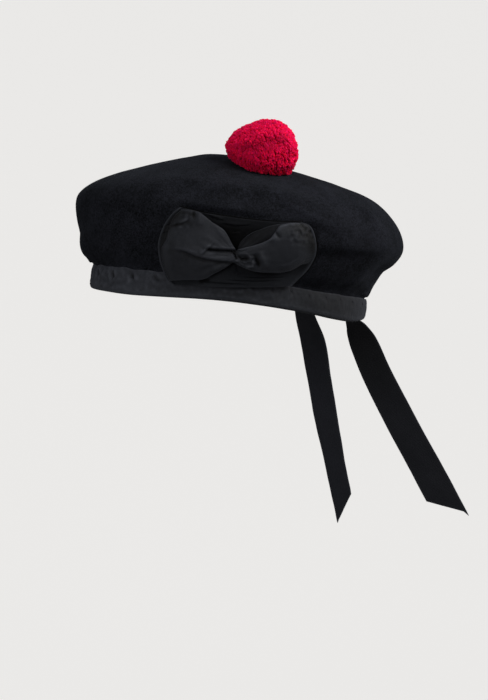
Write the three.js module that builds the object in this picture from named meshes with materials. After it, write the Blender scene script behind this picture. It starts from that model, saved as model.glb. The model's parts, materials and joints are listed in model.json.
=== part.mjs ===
// A balmoral bonnet as it sits on a head, tipped back, its two ribbon tails hanging behind.
//
// Millimetres and degrees. X points to the wearer's left, Y to the back, Z up. The origin is
// the middle of the headband's lower edge, where the head goes in. An angle is measured round
// the hat from the wearer's left (0) through the back (90), the right (180) and the front (270).
import * as THREE from "three";

// Headband: a wide ribbon folded round the raw edge of the felt.
const HEAD_LENGTH = 202; // inside, front to back
const HEAD_WIDTH = 163; // inside, side to side
const BAND_HEIGHT = 18; // outer leaf of the fold
const INNER_LEAF_HEIGHT = 16;
const RIBBON = 1; // thickness of the folded ribbon
const FOLD_DEPTH = 2; // ribbon below the felt's raw edge

// Crown: one shaped piece of felt.
const FELT = 2;
const HEM_HEIGHT = 4; // where the raw edge of the felt sits inside the fold
const APEX_HEIGHT = 109;
const CREST_RADIUS = 30;
const LIP_OUT = 1.6; // the felt spills over the band's top edge
const LIP_UP = 3;

const TIP_BACK = 8.2; // the worn hat's tilt, front up
const GAP = 0.3; // between pieces that touch

// Pompom: a soft yarn ball that flops forward of the crown's peak, to the left.
const POMPOM_SIZE = { width: 54, depth: 54, height: 43, lumps: 0.7 };
const POMPOM_PLACE = { left: 41, back: -10, up: 113.8, lean: 14, tip: 2 }; // lean and tip in degrees

// Cockade: a flat patch of wide ribbon, and a second length over it pinched into a bow.
const COCKADE_ANGLE = 330;
const COCKADE_TOP = 65;
const COCKADE_BOTTOM = 14.7;
const COCKADE_BOTTOM_SLANT = 0.116; // rise of the lower edge toward the back
const COCKADE_REACH = 103; // radius that its width is measured round
const BOW_RIBBON = 0.9;

// Tails: ribbon of one width, stitched inside the band behind each ear.
const TAIL_WIDTH = 25;
const TAIL_RIBBON = 1;
const STITCH_INSET = 1.9; // from the band's inner face to the tail's middle line

const ROUND = 60; // steps round the crown and the band

// How far the band's lower edge lifts or sags from level as it goes round the head.
const RIM = [
  { angle: 5, rise: 0.4 },
  { angle: 43, rise: -2.2 },
  { angle: 62, rise: 0.3 },
  { angle: 90, rise: 2.4 },
  { angle: 150, rise: 3 },
  { angle: 205, rise: 2.4 },
  { angle: 250, rise: -0.6 },
  { angle: 287, rise: -2.6 },
  { angle: 325, rise: 1 },
];

// The crown's section at each angle: radius and height of its hang over the band, of its widest
// reach, of the brow that rounds over, of the slope on top, and the height of its crest.
const CROWN_SECTIONS = [
  { angle: 0, hang: 93, hangUp: 27, reach: 103, reachUp: 57, brow: 98, browUp: 75, top: 72, topUp: 92, crest: 104.5 },
  { angle: 60, hang: 107, hangUp: 28, reach: 125, reachUp: 55, brow: 111, browUp: 80, top: 86, topUp: 93, crest: 103.6 },
  { angle: 105, hang: 110, hangUp: 26, reach: 126, reachUp: 54, brow: 114, browUp: 76, top: 85, topUp: 92, crest: 104.2 },
  { angle: 150, hang: 104, hangUp: 20, reach: 126, reachUp: 48, brow: 117, browUp: 69, top: 86, topUp: 89, crest: 105 },
  { angle: 195, hang: 101, hangUp: 20, reach: 123, reachUp: 49, brow: 115, browUp: 69, top: 83, topUp: 89, crest: 106 },
  { angle: 240, hang: 112, hangUp: 26, reach: 120.5, reachUp: 63, brow: 110, browUp: 76, top: 76, topUp: 91.5, crest: 106.6 },
  { angle: 285, hang: 109, hangUp: 26, reach: 113, reachUp: 61, brow: 105, browUp: 76, top: 74, topUp: 93, crest: 106.2 },
  { angle: 330, hang: 93, hangUp: 27, reach: 99, reachUp: 60, brow: 95, browUp: 76, top: 70, topUp: 93, crest: 105 },
];

// Soft folds in the felt: a line from one place to another, each an angle and a distance up
// the cloth from the band, with the fold's half-width and how far it stands out or dips in.
const CROWN_FOLDS = [
  { from: 306, fromUp: 59, to: 351, toUp: 57, width: 5, out: -2.4 }, // crease over the cockade
  { from: 300, fromUp: 72, to: 356, toUp: 70, width: 8, out: 1.6 }, // roll above that crease
  { from: 345, fromUp: 74, to: 16, toUp: 52, width: 6, out: 1.8 }, // ridge running back from it
  { from: 352, fromUp: 88, to: 24, toUp: 66, width: 7, out: -1.5 },
  { from: 36, fromUp: 78, to: 33, toUp: 38, width: 6, out: 1.6 }, // upright fold behind the ear
  { from: 27, fromUp: 34, to: 48, toUp: 22, width: 6, out: -2 },
  { from: 80, fromUp: 30, to: 96, toUp: 62, width: 8, out: -2 }, // slack at the back
  { from: 112, fromUp: 28, to: 122, toUp: 66, width: 9, out: 2 },
  { from: 150, fromUp: 22, to: 158, toUp: 60, width: 9, out: -2.2 },
  { from: 186, fromUp: 24, to: 178, toUp: 58, width: 8, out: 1.8 },
  { from: 214, fromUp: 22, to: 205, toUp: 56, width: 9, out: -2 },
  { from: 262, fromUp: 30, to: 290, toUp: 50, width: 8, out: -1.4 },
];

// Half-widths of the cockade's patch toward the front and the back, from its lower edge (0) up (1).
const PATCH_OUTLINE = [
  { up: 0, front: 42, back: 46 },
  { up: 0.2, front: 51, back: 53 },
  { up: 0.45, front: 56.5, back: 58 },
  { up: 0.75, front: 54, back: 59.5 },
  { up: 0.92, front: 49.5, back: 55 },
  { up: 1, front: 46, back: 46 },
];

// The bow's ribbon from its front end to its back end: distance round the hat, heights of its
// edges, how far its middle and its edges stand off the patch, and the depth of its pleats.
const BOW_SECTIONS = [
  { along: -54, top: 42, bottom: 32, middle: 0.5, edge: 0.4, pleat: 0 },
  { along: -51, top: 53, bottom: 20, middle: 4.5, edge: 2, pleat: 0 },
  { along: -44, top: 62.5, bottom: 10.5, middle: 8, edge: 3, pleat: 0.3 },
  { along: -30, top: 61.5, bottom: 12, middle: 9.5, edge: 3.5, pleat: 1.2 },
  { along: -14, top: 55, bottom: 19, middle: 8, edge: 4, pleat: 1.8 },
  { along: -5, top: 47, bottom: 26, middle: 6, edge: 4, pleat: 1.2 },
  { along: 1.5, top: 41, bottom: 30.5, middle: 4, edge: 3, pleat: 0.4 },
  { along: 8, top: 46.5, bottom: 26.5, middle: 6, edge: 4, pleat: 1.2 },
  { along: 18, top: 54, bottom: 22.5, middle: 8.5, edge: 4, pleat: 1.8 },
  { along: 34, top: 62, bottom: 21.5, middle: 9.5, edge: 3.5, pleat: 1.2 },
  { along: 48, top: 63.5, bottom: 24, middle: 8, edge: 3, pleat: 0.3 },
  { along: 55, top: 59, bottom: 36, middle: 4.5, edge: 2, pleat: 0 },
  { along: 58.5, top: 52, bottom: 45, middle: 0.5, edge: 0.4, pleat: 0 },
];
const PLEATS = 2.5; // waves across the ribbon's width

// Each tail's middle line below its stitching: how far out to its own side, back and down, the
// turn of its outer edge toward the back, and the width that shows where its top is bunched.
// Its end is cut on a slant, to a point at the outer edge.
const LEFT_TAIL = {
  side: 1,
  stitch: 68, // angle round the band
  slant: 9, // half the height that the slanting end takes
  line: [
    { out: 0, back: 0, down: -13, turn: -32, width: 15 },
    { out: -1.5, back: -3.5, down: -2, turn: -8, width: 15 },
    { out: 0.7, back: 1.2, down: 6, turn: 22, width: 19 },
    { out: 3.2, back: 5.8, down: 16, turn: 29, width: 23.5 },
    { out: 10.2, back: 13.8, down: 40, turn: 32, width: 25 },
    { out: 20.8, back: 28.4, down: 75, turn: 34, width: 25 },
    { out: 31, back: 43, down: 108, turn: 36, width: 25 },
    { out: 43.5, back: 60.5, down: 147.5, turn: 37, width: 25 },
  ],
};
const RIGHT_TAIL = {
  side: -1,
  stitch: 112,
  slant: 14,
  line: [
    { out: 0, back: 0, down: -13, turn: -32, width: 15 },
    { out: 0, back: 1, down: 0, turn: -28, width: 17 },
    { out: 3.2, back: 10, down: 21, turn: -20, width: 24.5 },
    { out: 9, back: 19.2, down: 50, turn: -17, width: 25 },
    { out: 16, back: 30.4, down: 85, turn: -12, width: 25 },
    { out: 25, back: 46, down: 130, turn: -8, width: 25 },
    { out: 31, back: 58.8, down: 169, turn: -6, width: 25 },
  ],
};

const BAND_THICKNESS = 2 * RIBBON + 2 * GAP + FELT;
const rad = THREE.MathUtils.degToRad;

// ---- Shared shape helpers -------------------------------------------------------------

// A smooth value between the rows of a table, at x of its first column. A closed table goes
// round 360 degrees.
function between(rows, xKey, key, x, closed = false) {
  const n = rows.length;
  const at = (i) => {
    const turns = closed ? Math.floor(i / n) : 0;
    const row = rows[closed ? i - turns * n : THREE.MathUtils.clamp(i, 0, n - 1)];
    return { x: row[xKey] + 360 * turns, y: row[key] };
  };
  let i = rows.findLastIndex((row) => row[xKey] <= x); // -1 before the first row
  if (!closed) i = THREE.MathUtils.clamp(i, 0, n - 2);
  const [a, b, c, d] = [at(i - 1), at(i), at(i + 1), at(i + 2)];
  const slope = (p, q) => (q.x === p.x ? 0 : (q.y - p.y) / (q.x - p.x));
  const width = c.x - b.x;
  const t = THREE.MathUtils.clamp((x - b.x) / width, 0, 1);
  const [m0, m1] = [slope(a, c) * width, slope(b, d) * width];
  const [t2, t3] = [t * t, t * t * t];
  return (2 * t3 - 3 * t2 + 1) * b.y + (t3 - 2 * t2 + t) * m0 + (3 * t2 - 2 * t3) * c.y + (t3 - t2) * m1;
}

const wrapped = (angle) => THREE.MathUtils.euclideanModulo(angle, 360);
const around = (angle, radius, z) =>
  new THREE.Vector3(radius * Math.cos(rad(angle)), radius * Math.sin(rad(angle)), z);

// Joins a grid of points into triangles. Columns may close on each other.
function joinGrid(triangles, grid, closed, flip) {
  const rows = grid.length;
  const columns = grid[0].length;
  for (let i = 0; i < rows - 1; i++) {
    for (let j = 0; j < (closed ? columns : columns - 1); j++) {
      const k = (j + 1) % columns;
      const [a, b, c, d] = [grid[i][j], grid[i][k], grid[i + 1][k], grid[i + 1][j]];
      triangles.push(...(flip ? [a, c, b, a, d, c] : [a, b, c, a, c, d]));
    }
  }
}

function solid(triangles) {
  const positions = new Float32Array(triangles.flatMap((p) => [p.x, p.y, p.z]));
  const geometry = new THREE.BufferGeometry();
  geometry.setAttribute("position", new THREE.BufferAttribute(positions, 3));
  geometry.computeVertexNormals();
  return geometry;
}

// A closed sheet between its front grid and its back grid, with all four edges joined.
function sheetSolid(front, back) {
  const triangles = [];
  const last = front.length - 1;
  const end = front[0].length - 1;
  joinGrid(triangles, front, false, false);
  joinGrid(triangles, back, false, true);
  joinGrid(triangles, [back[0], front[0]], false, false);
  joinGrid(triangles, [front[last], back[last]], false, false);
  joinGrid(triangles, [front.map((row) => row[0]), back.map((row) => row[0])], false, false);
  joinGrid(triangles, [back.map((row) => row[end]), front.map((row) => row[end])], false, false);
  return solid(triangles);
}

function piece(name, geometry, color, roughness) {
  const material = new THREE.MeshStandardMaterial({ color, roughness, metalness: 0 });
  const mesh = new THREE.Mesh(geometry, material);
  mesh.name = name;
  return mesh;
}

const steps = (count) => Array.from({ length: count + 1 }, (_, i) => i / count);

// ---- Headband -------------------------------------------------------------------------

// Radius of the oval that lies this far outside the band's inner face.
function headRadius(angle, out) {
  const across = Math.cos(rad(angle)) / (HEAD_WIDTH / 2);
  const along = Math.sin(rad(angle)) / (HEAD_LENGTH / 2);
  return 1 / Math.hypot(across, along) + out;
}

const rimRise = (angle) => between(RIM, "angle", "rise", angle, true);

// The folded ribbon's section: two leaves joined by a rounded fold, which follows the rim.
function headbandSolid() {
  const soft = 0.8;
  const section = [
    { out: soft, up: 0, follows: 1 },
    { out: BAND_THICKNESS - soft, up: 0, follows: 1 },
    { out: BAND_THICKNESS, up: soft, follows: 1 },
    { out: BAND_THICKNESS, up: BAND_HEIGHT, follows: 0 },
    { out: BAND_THICKNESS - RIBBON, up: BAND_HEIGHT, follows: 0 },
    { out: BAND_THICKNESS - RIBBON, up: FOLD_DEPTH, follows: 1 },
    { out: RIBBON, up: FOLD_DEPTH, follows: 1 },
    { out: RIBBON, up: INNER_LEAF_HEIGHT, follows: 0 },
    { out: 0, up: INNER_LEAF_HEIGHT, follows: 0 },
    { out: 0, up: soft, follows: 1 },
  ];
  const rings = section.map(({ out, up, follows }) =>
    Array.from({ length: ROUND }, (_, i) => {
      const angle = (360 * i) / ROUND;
      return around(angle, headRadius(angle, out), up + follows * rimRise(angle));
    }),
  );
  const triangles = [];
  joinGrid(triangles, [...rings, rings[0]], true, false);
  return solid(triangles);
}

// ---- Crown ----------------------------------------------------------------------------

// How many steps the felt takes in each stretch from the band's top to the peak.
const PROFILE_STEPS = [2, 2, 3, 3, 3, 3, 2];

// The felt's outer line at one angle, from its hem up to the peak, before any fold.
function plainProfile(angle) {
  const value = (key) => between(CROWN_SECTIONS, "angle", key, angle, true);
  const slot = headRadius(angle, RIBBON + GAP + FELT);
  const lip = headRadius(angle, BAND_THICKNESS + LIP_OUT);
  const controls = [
    [slot, BAND_HEIGHT],
    [lip, BAND_HEIGHT + LIP_UP],
    [value("hang"), value("hangUp")],
    [value("reach"), value("reachUp")],
    [value("brow"), value("browUp")],
    [value("top"), value("topUp")],
    [CREST_RADIUS, value("crest")],
    [0, APEX_HEIGHT],
    [-CREST_RADIUS, value("crest")],
  ].map(([radius, z]) => new THREE.Vector3(radius, 0, z));
  const curve = new THREE.CatmullRomCurve3(controls, false, "centripetal");
  const spans = controls.length - 1;
  const line = [{ radius: slot, z: HEM_HEIGHT + rimRise(angle) }];
  PROFILE_STEPS.forEach((count, span) => {
    for (let k = 0; k < count; k++) {
      const p = curve.getPoint((span + k / count) / spans);
      line.push({ radius: p.x, z: p.z });
    }
  });
  line.push({ radius: 0, z: APEX_HEIGHT });
  return line;
}

// How far the folds push the felt out at an angle and a distance up the cloth.
function foldAt(angle, up) {
  const across = rad(105); // millimetres of cloth for each degree round the hat
  return CROWN_FOLDS.reduce((sum, fold) => {
    const turn = (from, to) => wrapped(to - from + 180) - 180;
    const run = new THREE.Vector2(turn(fold.from, fold.to) * across, fold.toUp - fold.fromUp);
    const here = new THREE.Vector2(turn(fold.from, angle) * across, up - fold.fromUp);
    const share = THREE.MathUtils.clamp(here.dot(run) / run.lengthSq(), 0, 1);
    const distance = here.distanceTo(run.multiplyScalar(share));
    return sum + fold.out * Math.exp(-((distance / fold.width) ** 2));
  }, 0);
}

// The outer line with its folds, which leave the stretch inside the band alone.
function foldedProfile(angle) {
  const line = plainProfile(angle);
  let up = 0;
  return line.map((p, i) => {
    if (i < 3 || i === line.length - 1) return p;
    const [before, after] = [line[i - 1], line[i + 1]];
    up += Math.hypot(p.radius - before.radius, p.z - before.z);
    const [dr, dz] = [after.radius - before.radius, after.z - before.z];
    const length = Math.hypot(dr, dz);
    const push = foldAt(angle, up) * THREE.MathUtils.smoothstep(up, 3, 16);
    return { radius: p.radius + (push * dz) / length, z: p.z - (push * dr) / length };
  });
}

// Height of the crown's top above a point inside its reach.
function crownHeight(x, y) {
  const line = foldedProfile(wrapped(THREE.MathUtils.radToDeg(Math.atan2(y, x))));
  const radius = Math.hypot(x, y);
  let i = line.length - 1;
  while (line[i - 1].radius < radius) i--;
  const [inner, outer] = [line[i], line[i - 1]];
  const share = (radius - inner.radius) / (outer.radius - inner.radius);
  return THREE.MathUtils.lerp(inner.z, outer.z, share);
}

function crownSolid() {
  const lines = Array.from({ length: ROUND }, (_, i) => foldedProfile((360 * i) / ROUND));
  const levels = lines[0].length - 1; // the last is the peak, one point
  const outer = Array.from({ length: levels }, (_, j) =>
    lines.map((line, i) => around((360 * i) / ROUND, line[j].radius, line[j].z)),
  );
  const peak = new THREE.Vector3(0, 0, APEX_HEIGHT);
  const inner = outer.map((ring, j) =>
    ring.map((p, i) => {
      if (j < 2) return p.clone().sub(around((360 * i) / ROUND, FELT, 0)); // inside the band
      const up = (j + 1 < levels ? outer[j + 1][i] : peak).clone().sub(outer[j - 1][i]);
      const round = ring[(i + 1) % ROUND].clone().sub(ring[(i + ROUND - 1) % ROUND]);
      return p.clone().addScaledVector(round.cross(up).normalize(), -FELT);
    }),
  );
  const triangles = [];
  joinGrid(triangles, outer, true, false);
  joinGrid(triangles, inner, true, true);
  joinGrid(triangles, [inner[0], outer[0]], true, false);
  const innerPeak = peak.clone().setZ(APEX_HEIGHT - FELT);
  for (let i = 0; i < ROUND; i++) {
    const next = (i + 1) % ROUND;
    triangles.push(outer[levels - 1][i], outer[levels - 1][next], peak);
    triangles.push(inner[levels - 1][next], inner[levels - 1][i], innerPeak);
  }
  return solid(triangles);
}

// ---- Pompom ---------------------------------------------------------------------------

// A lumpy ball, leaning toward the cockade and pressed flat where it meets the crown.
function pompomSolid() {
  const ball = new THREE.SphereGeometry(1, 28, 16);
  const { width, depth, height, lumps } = POMPOM_SIZE;
  const { left, back, up, lean, tip } = POMPOM_PLACE;
  const turn = new THREE.Euler(rad(tip), rad(lean), 0);
  const place = ball.getAttribute("position");
  const p = new THREE.Vector3();
  for (let i = 0; i < place.count; i++) {
    p.fromBufferAttribute(place, i);
    const lump = lumps * Math.sin(5 * p.x + 1) * Math.cos(4 * p.y) * Math.sin(6 * p.z);
    p.set(p.x * (width / 2 + lump), p.z * (depth / 2 + lump), p.y * (height / 2 + lump));
    p.applyEuler(turn).add(new THREE.Vector3(left, back, up));
    p.z = Math.max(p.z, crownHeight(p.x, p.y) + 2 * GAP);
    place.setXYZ(i, p.x, p.y, p.z);
  }
  const indexed = ball.toNonIndexed();
  const points = indexed.getAttribute("position");
  const triangles = [];
  for (let i = 0; i < points.count; i += 3) {
    const [a, b, c] = [0, 2, 1].map((k) => new THREE.Vector3().fromBufferAttribute(points, i + k));
    if (a.distanceTo(b) && b.distanceTo(c) && c.distanceTo(a)) triangles.push(a, b, c);
  }
  return solid(triangles);
}

// ---- Cockade --------------------------------------------------------------------------

// Radius of the smooth wall that the cockade lies on: straight from the band up to the crown's
// reach and upright above it, moved out until it clears the felt.
function cockadeWall(angle, z) {
  const band = headRadius(angle, BAND_THICKNESS);
  const reach = between(CROWN_SECTIONS, "angle", "reach", angle, true);
  const reachUp = between(CROWN_SECTIONS, "angle", "reachUp", angle, true);
  const straight = (up) => {
    const share = (up - BAND_HEIGHT) / (reachUp - BAND_HEIGHT);
    return THREE.MathUtils.lerp(band, reach, THREE.MathUtils.clamp(share, 0, 1));
  };
  const proud = foldedProfile(angle).map((p) => (p.z < reachUp + 14 ? p.radius - straight(p.z) : 0));
  return straight(z) + Math.max(0, ...proud);
}

// A point of the cockade: distance round the hat toward the back, height, and stand-off.
function onCockade(along, z, off) {
  const angle = wrapped(COCKADE_ANGLE + THREE.MathUtils.radToDeg(along / COCKADE_REACH));
  return around(angle, cockadeWall(angle, z) + off, z);
}

const cockadeBottom = (along) => COCKADE_BOTTOM + COCKADE_BOTTOM_SLANT * along;

function patchSolid() {
  const grid = (off) =>
    steps(8).map((up) =>
      steps(16).map((across) => {
        const front = between(PATCH_OUTLINE, "up", "front", up);
        const back = between(PATCH_OUTLINE, "up", "back", up);
        const along = THREE.MathUtils.lerp(-front, back, across);
        return onCockade(along, THREE.MathUtils.lerp(cockadeBottom(along), COCKADE_TOP, up), off);
      }),
    );
  return sheetSolid(grid(2 * GAP + RIBBON), grid(2 * GAP));
}

// The bow's ribbon: pinched to a narrow waist, its two halves swelling over the patch.
function bowSolid() {
  const base = 3 * GAP + RIBBON;
  const first = BOW_SECTIONS[0].along;
  const last = BOW_SECTIONS.at(-1).along;
  const grid = (off) =>
    steps(10).map((up) =>
      steps(30).map((across) => {
        const along = THREE.MathUtils.lerp(first, last, across);
        const value = (key) => between(BOW_SECTIONS, "along", key, along);
        const side = 2 * up - 1;
        const swell = THREE.MathUtils.lerp(value("middle"), value("edge"), side * side);
        const pleat = value("pleat") * Math.sin(Math.PI * PLEATS * side + (along < 0 ? 0.6 : 2));
        const z = THREE.MathUtils.lerp(value("bottom"), value("top"), up);
        return onCockade(along, z, base + Math.max(0, swell + pleat) + off);
      }),
    );
  return sheetSolid(grid(BOW_RIBBON), grid(0));
}

// ---- Tails ----------------------------------------------------------------------------

// The ribbon hangs plumb, so it is made in the frame of the room and not of the tipped hat.
function tailSolid({ side, stitch: angle, slant, line: rows }, tip) {
  const stitch = around(angle, headRadius(angle, -STITCH_INSET), 0).applyEuler(tip);
  const lineAt = (down) =>
    new THREE.Vector3(
      stitch.x + side * between(rows, "down", "out", down),
      stitch.y + between(rows, "down", "back", down),
      stitch.z - down,
    );
  const first = rows[0].down;
  const last = rows.at(-1).down - slant;
  const grid = (off) =>
    steps(14).map((share) =>
      steps(4).map((across) => {
        const outward = 2 * across - 1; // -1 at the inner edge, 1 at the outer one
        const cut = share ** 3 * slant * outward;
        const down = THREE.MathUtils.lerp(first, last, share) + cut;
        const turn = rad(between(rows, "down", "turn", down));
        const along = lineAt(down + 1).sub(lineAt(down - 1)).normalize();
        const edge = new THREE.Vector3(side * Math.cos(turn), Math.sin(turn), 0);
        edge.addScaledVector(along, -edge.dot(along)).normalize();
        const face = edge.clone().cross(along).multiplyScalar(side);
        const width = Math.min(TAIL_WIDTH, between(rows, "down", "width", down));
        const bunch = (1 - width / TAIL_WIDTH) * 5 * (1 - outward * outward);
        return lineAt(down)
          .addScaledVector(edge, (outward * width) / 2)
          .addScaledVector(face, off - bunch);
      }),
    );
  const sheets = [grid(TAIL_RIBBON / 2), grid(-TAIL_RIBBON / 2)];
  return sheetSolid(...(side > 0 ? sheets : sheets.reverse()));
}

// ---- Assembly -------------------------------------------------------------------------

const worn = new THREE.Group();
worn.rotation.x = rad(-TIP_BACK);
worn.add(piece("crown", crownSolid(), 0x15161a, 0.95));
worn.add(piece("headband", headbandSolid(), 0x1d1e24, 0.7));
worn.add(piece("pompom", pompomSolid(), 0xc4102f, 0.95));
worn.add(piece("cockade_patch", patchSolid(), 0x1c1d22, 0.65));
worn.add(piece("cockade_bow", bowSolid(), 0x212228, 0.6));

const bonnet = new THREE.Group();
bonnet.add(worn);
bonnet.add(piece("tail_left", tailSolid(LEFT_TAIL, worn.rotation), 0x0e1014, 0.6));
bonnet.add(piece("tail_right", tailSolid(RIGHT_TAIL, worn.rotation), 0x0e1014, 0.6));

export default bonnet;
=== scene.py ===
"""A balmoral bonnet as it is worn: felt crown, ribbon band, cockade, yarn pompom and two tails.

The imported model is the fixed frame. Each operator below makes one piece, or one group of like
pieces, where the frame has it. The hat's own axes are the frame's, tipped back as it is worn:
X to the wearer's left, Y to the back, Z up through the crown. Places on the hat are given in
its own millimetres. An angle is measured round the hat from the wearer's left (0) through the
back (90), the right (180) and the front (270).
"""

import json
import math
import random

import bpy
import numpy as np
from bpy.props import FloatProperty, FloatVectorProperty, IntProperty, PointerProperty
from mathutils import Matrix, Vector, noise
from mathutils.bvhtree import BVHTree
from mathutils.kdtree import KDTree


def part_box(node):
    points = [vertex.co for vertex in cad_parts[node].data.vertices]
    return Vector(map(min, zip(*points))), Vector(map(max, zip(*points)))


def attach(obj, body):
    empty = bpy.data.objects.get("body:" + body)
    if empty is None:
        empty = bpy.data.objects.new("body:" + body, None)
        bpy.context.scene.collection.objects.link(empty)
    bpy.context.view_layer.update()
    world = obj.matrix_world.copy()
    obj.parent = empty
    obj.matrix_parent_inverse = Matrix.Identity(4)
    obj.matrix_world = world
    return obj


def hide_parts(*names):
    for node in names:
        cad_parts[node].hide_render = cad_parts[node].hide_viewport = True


bl_info = {
    "name": "Balmoral bonnet",
    "version": (1, 0, 0),
    "blender": (4, 5, 0),
    "location": "View3D > Sidebar > Bonnet",
    "description": "Makes a felt balmoral bonnet with its band, cockade, pompom and tails",
    "category": "Object",
}

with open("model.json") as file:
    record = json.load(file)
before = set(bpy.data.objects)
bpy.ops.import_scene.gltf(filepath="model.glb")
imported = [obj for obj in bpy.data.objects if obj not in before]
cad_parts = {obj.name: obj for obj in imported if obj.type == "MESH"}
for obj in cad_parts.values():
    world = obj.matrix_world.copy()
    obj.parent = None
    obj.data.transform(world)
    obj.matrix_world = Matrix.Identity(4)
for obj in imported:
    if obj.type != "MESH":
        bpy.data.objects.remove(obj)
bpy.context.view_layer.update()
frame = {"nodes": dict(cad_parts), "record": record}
BODY = "root"
MM = 0.001

# The hat is held at its band, and its up axis points out of the top of the head.
WORN_UP = -Vector(frame["record"]["mounts"][0]["axis"])
TIP = np.array(Vector((0, 0, 1)).rotation_difference(WORN_UP).to_matrix())

# ---- Sizes, in the hat's own millimetres ---------------------------------------------------

BAND_HEIGHT = 18.0
BAND_THICKNESS = 4.6  # two leaves of ribbon and the felt between them
INNER_LEAF_HEIGHT = 16.0
FELT_WALL = 2.0
STITCHES = 34  # round the band
STITCH_START = 1.7  # degrees round the hat to the first one
STITCH_DROP = 4.2  # from the band's top edge down to its puckers
STITCH_SLANT = math.radians(130)
TACK_RISE = 3.4  # from its lower edge up to the small tacks between them

COCKADE_FACE = math.radians(330)  # the way the cockade looks
ACROSS = np.array([-math.sin(COCKADE_FACE), math.cos(COCKADE_FACE), 0.0])  # toward the back
OUTWARD = np.array([math.cos(COCKADE_FACE), math.sin(COCKADE_FACE), 0.0])

BOW_RIDGE = 0.42  # where the bow's ribbon stands out most, from its lower edge (0) up

FOLD_FADE = 0.35  # the share of a fold's length over which it fades
PATCH_LENGTH, PATCH_BREADTH = 112, 48  # of the cockade's patch, about
PATCH_WALL, BOW_WALL, TAIL_WALL, BAND_WALL = 0.6, 0.5, 0.7, 0.8  # thickness of each ribbon

TAIL_WIDTH = 25.0
TAIL_INSET = 1.9  # from the band's inner face to the tail's middle line


def table(names, rows):
    """The columns of a table, by name."""
    return {name: np.array(column, float) for name, column in zip(names.split(), zip(*rows))}


def fold_line(line, above, below=None, fades="both"):
    """A fold along a line on the cloth: the height and the reach of the cloth above it and below
    it, alike unless both are given, and where it fades: start, end, both or neither."""
    return {
        "line": np.array(line, float),
        "above": above,
        "below": below or above,
        "starts": fades in ("start", "both"),
        "ends": fades in ("end", "both"),
    }


# Half-widths of the cockade's patch toward the front and the back, from its lower edge (0) up.
PATCH_SIDES = table("up front back", [
    (0.00, 40.2, 44.3),
    (0.08, 45.2, 47.2),
    (0.18, 48.2, 50.8),
    (0.28, 50.9, 54.0),
    (0.40, 52.8, 56.6),
    (0.50, 53.6, 58.0),
    (0.62, 53.0, 58.2),
    (0.73, 51.4, 57.2),
    (0.84, 48.6, 55.4),
    (0.93, 45.2, 53.0),
    (0.98, 42.6, 49.8),
    (1.00, 41.2, 45.5),
])
# Heights of the patch's lower and upper edges, from its front end to its back end.
PATCH_EDGES = table("across low high", [
    (-45, 8.0, 63.0),
    (-34, 8.6, 62.0),
    (-24, 9.3, 60.9),
    (-5, 10.8, 60.2),
    (15, 13.0, 60.3),
    (30, 15.2, 61.2),
    (45, 18.0, 63.2),
])

# The bow's front layer, from its front end to its back end: its upper and its lower edge, how
# far the line between them bulges, and how far its middle and its edges stand off the patch.
BOW_SIDES = "top_across top low_across low bulge middle rim"
BOW_FRONT = table(BOW_SIDES, [
    (-35.0, 61.8, -40.0, 10.0, -9.5, 0.9, 0.9),
    (-34.4, 61.8, -39.2, 10.4, -9.0, 3.2, 2.0),
    (-32.8, 61.7, -37.4, 11.2, -8.0, 5.6, 2.8),
    (-30.2, 61.6, -34.0, 12.2, -6.4, 7.4, 3.3),
    (-26.6, 60.7, -28.0, 13.0, -4.3, 8.4, 3.6),
    (-22.5, 58.3, -21.5, 13.8, -2.6, 8.8, 3.7),
    (-17.6, 55.2, -16.6, 15.6, -1.4, 8.6, 3.8),
    (-12.8, 53.0, -12.6, 18.8, -0.8, 8.0, 3.8),
    (-8.2, 50.4, -8.4, 21.6, -0.4, 7.2, 3.8),
    (-5.3, 47.0, -5.2, 23.9, 0.0, 6.4, 3.7),
    (-2.6, 43.0, -2.4, 26.2, 0.0, 5.6, 3.6),
    (0.2, 39.2, 0.3, 28.6, 0.0, 4.9, 3.4),
    (1.7, 37.8, 1.6, 29.0, 0.0, 4.7, 3.4),
    (4.6, 38.8, 4.6, 27.8, 0.2, 5.1, 3.5),
    (8.6, 40.3, 9.3, 26.2, 0.4, 5.8, 3.6),
    (14.7, 42.8, 14.7, 25.0, 0.8, 7.0, 3.8),
    (20.4, 45.6, 21.5, 24.7, 1.6, 8.0, 3.9),
    (25.0, 49.0, 27.0, 25.2, 2.6, 8.6, 3.9),
    (27.6, 53.6, 31.0, 25.6, 3.8, 8.6, 3.8),
    (30.2, 58.2, 35.5, 26.2, 5.0, 8.2, 3.6),
    (35.5, 60.8, 41.0, 28.2, 5.6, 7.2, 3.2),
    (40.0, 61.8, 45.0, 30.6, 6.3, 5.6, 2.6),
    (43.0, 62.2, 47.8, 33.0, 6.9, 3.4, 1.8),
    (45.0, 62.3, 50.5, 35.6, 7.4, 1.4, 1.0),
    (46.6, 62.2, 53.4, 37.6, 7.6, 0.9, 0.9),
])
# The front layer's puffed front end, inside the patch's own: how far out toward the front.
BOW_FRONT_END = table("up out", [
    (11, 43.4),
    (15, 45.8),
    (19.3, 48.0),
    (27.5, 51.0),
    (33, 51.4),
    (37, 49.8),
    (40, 48.6),
    (44.6, 48.2),
    (50.8, 47.4),
    (56, 45.2),
    (61, 41.0),
])
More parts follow.
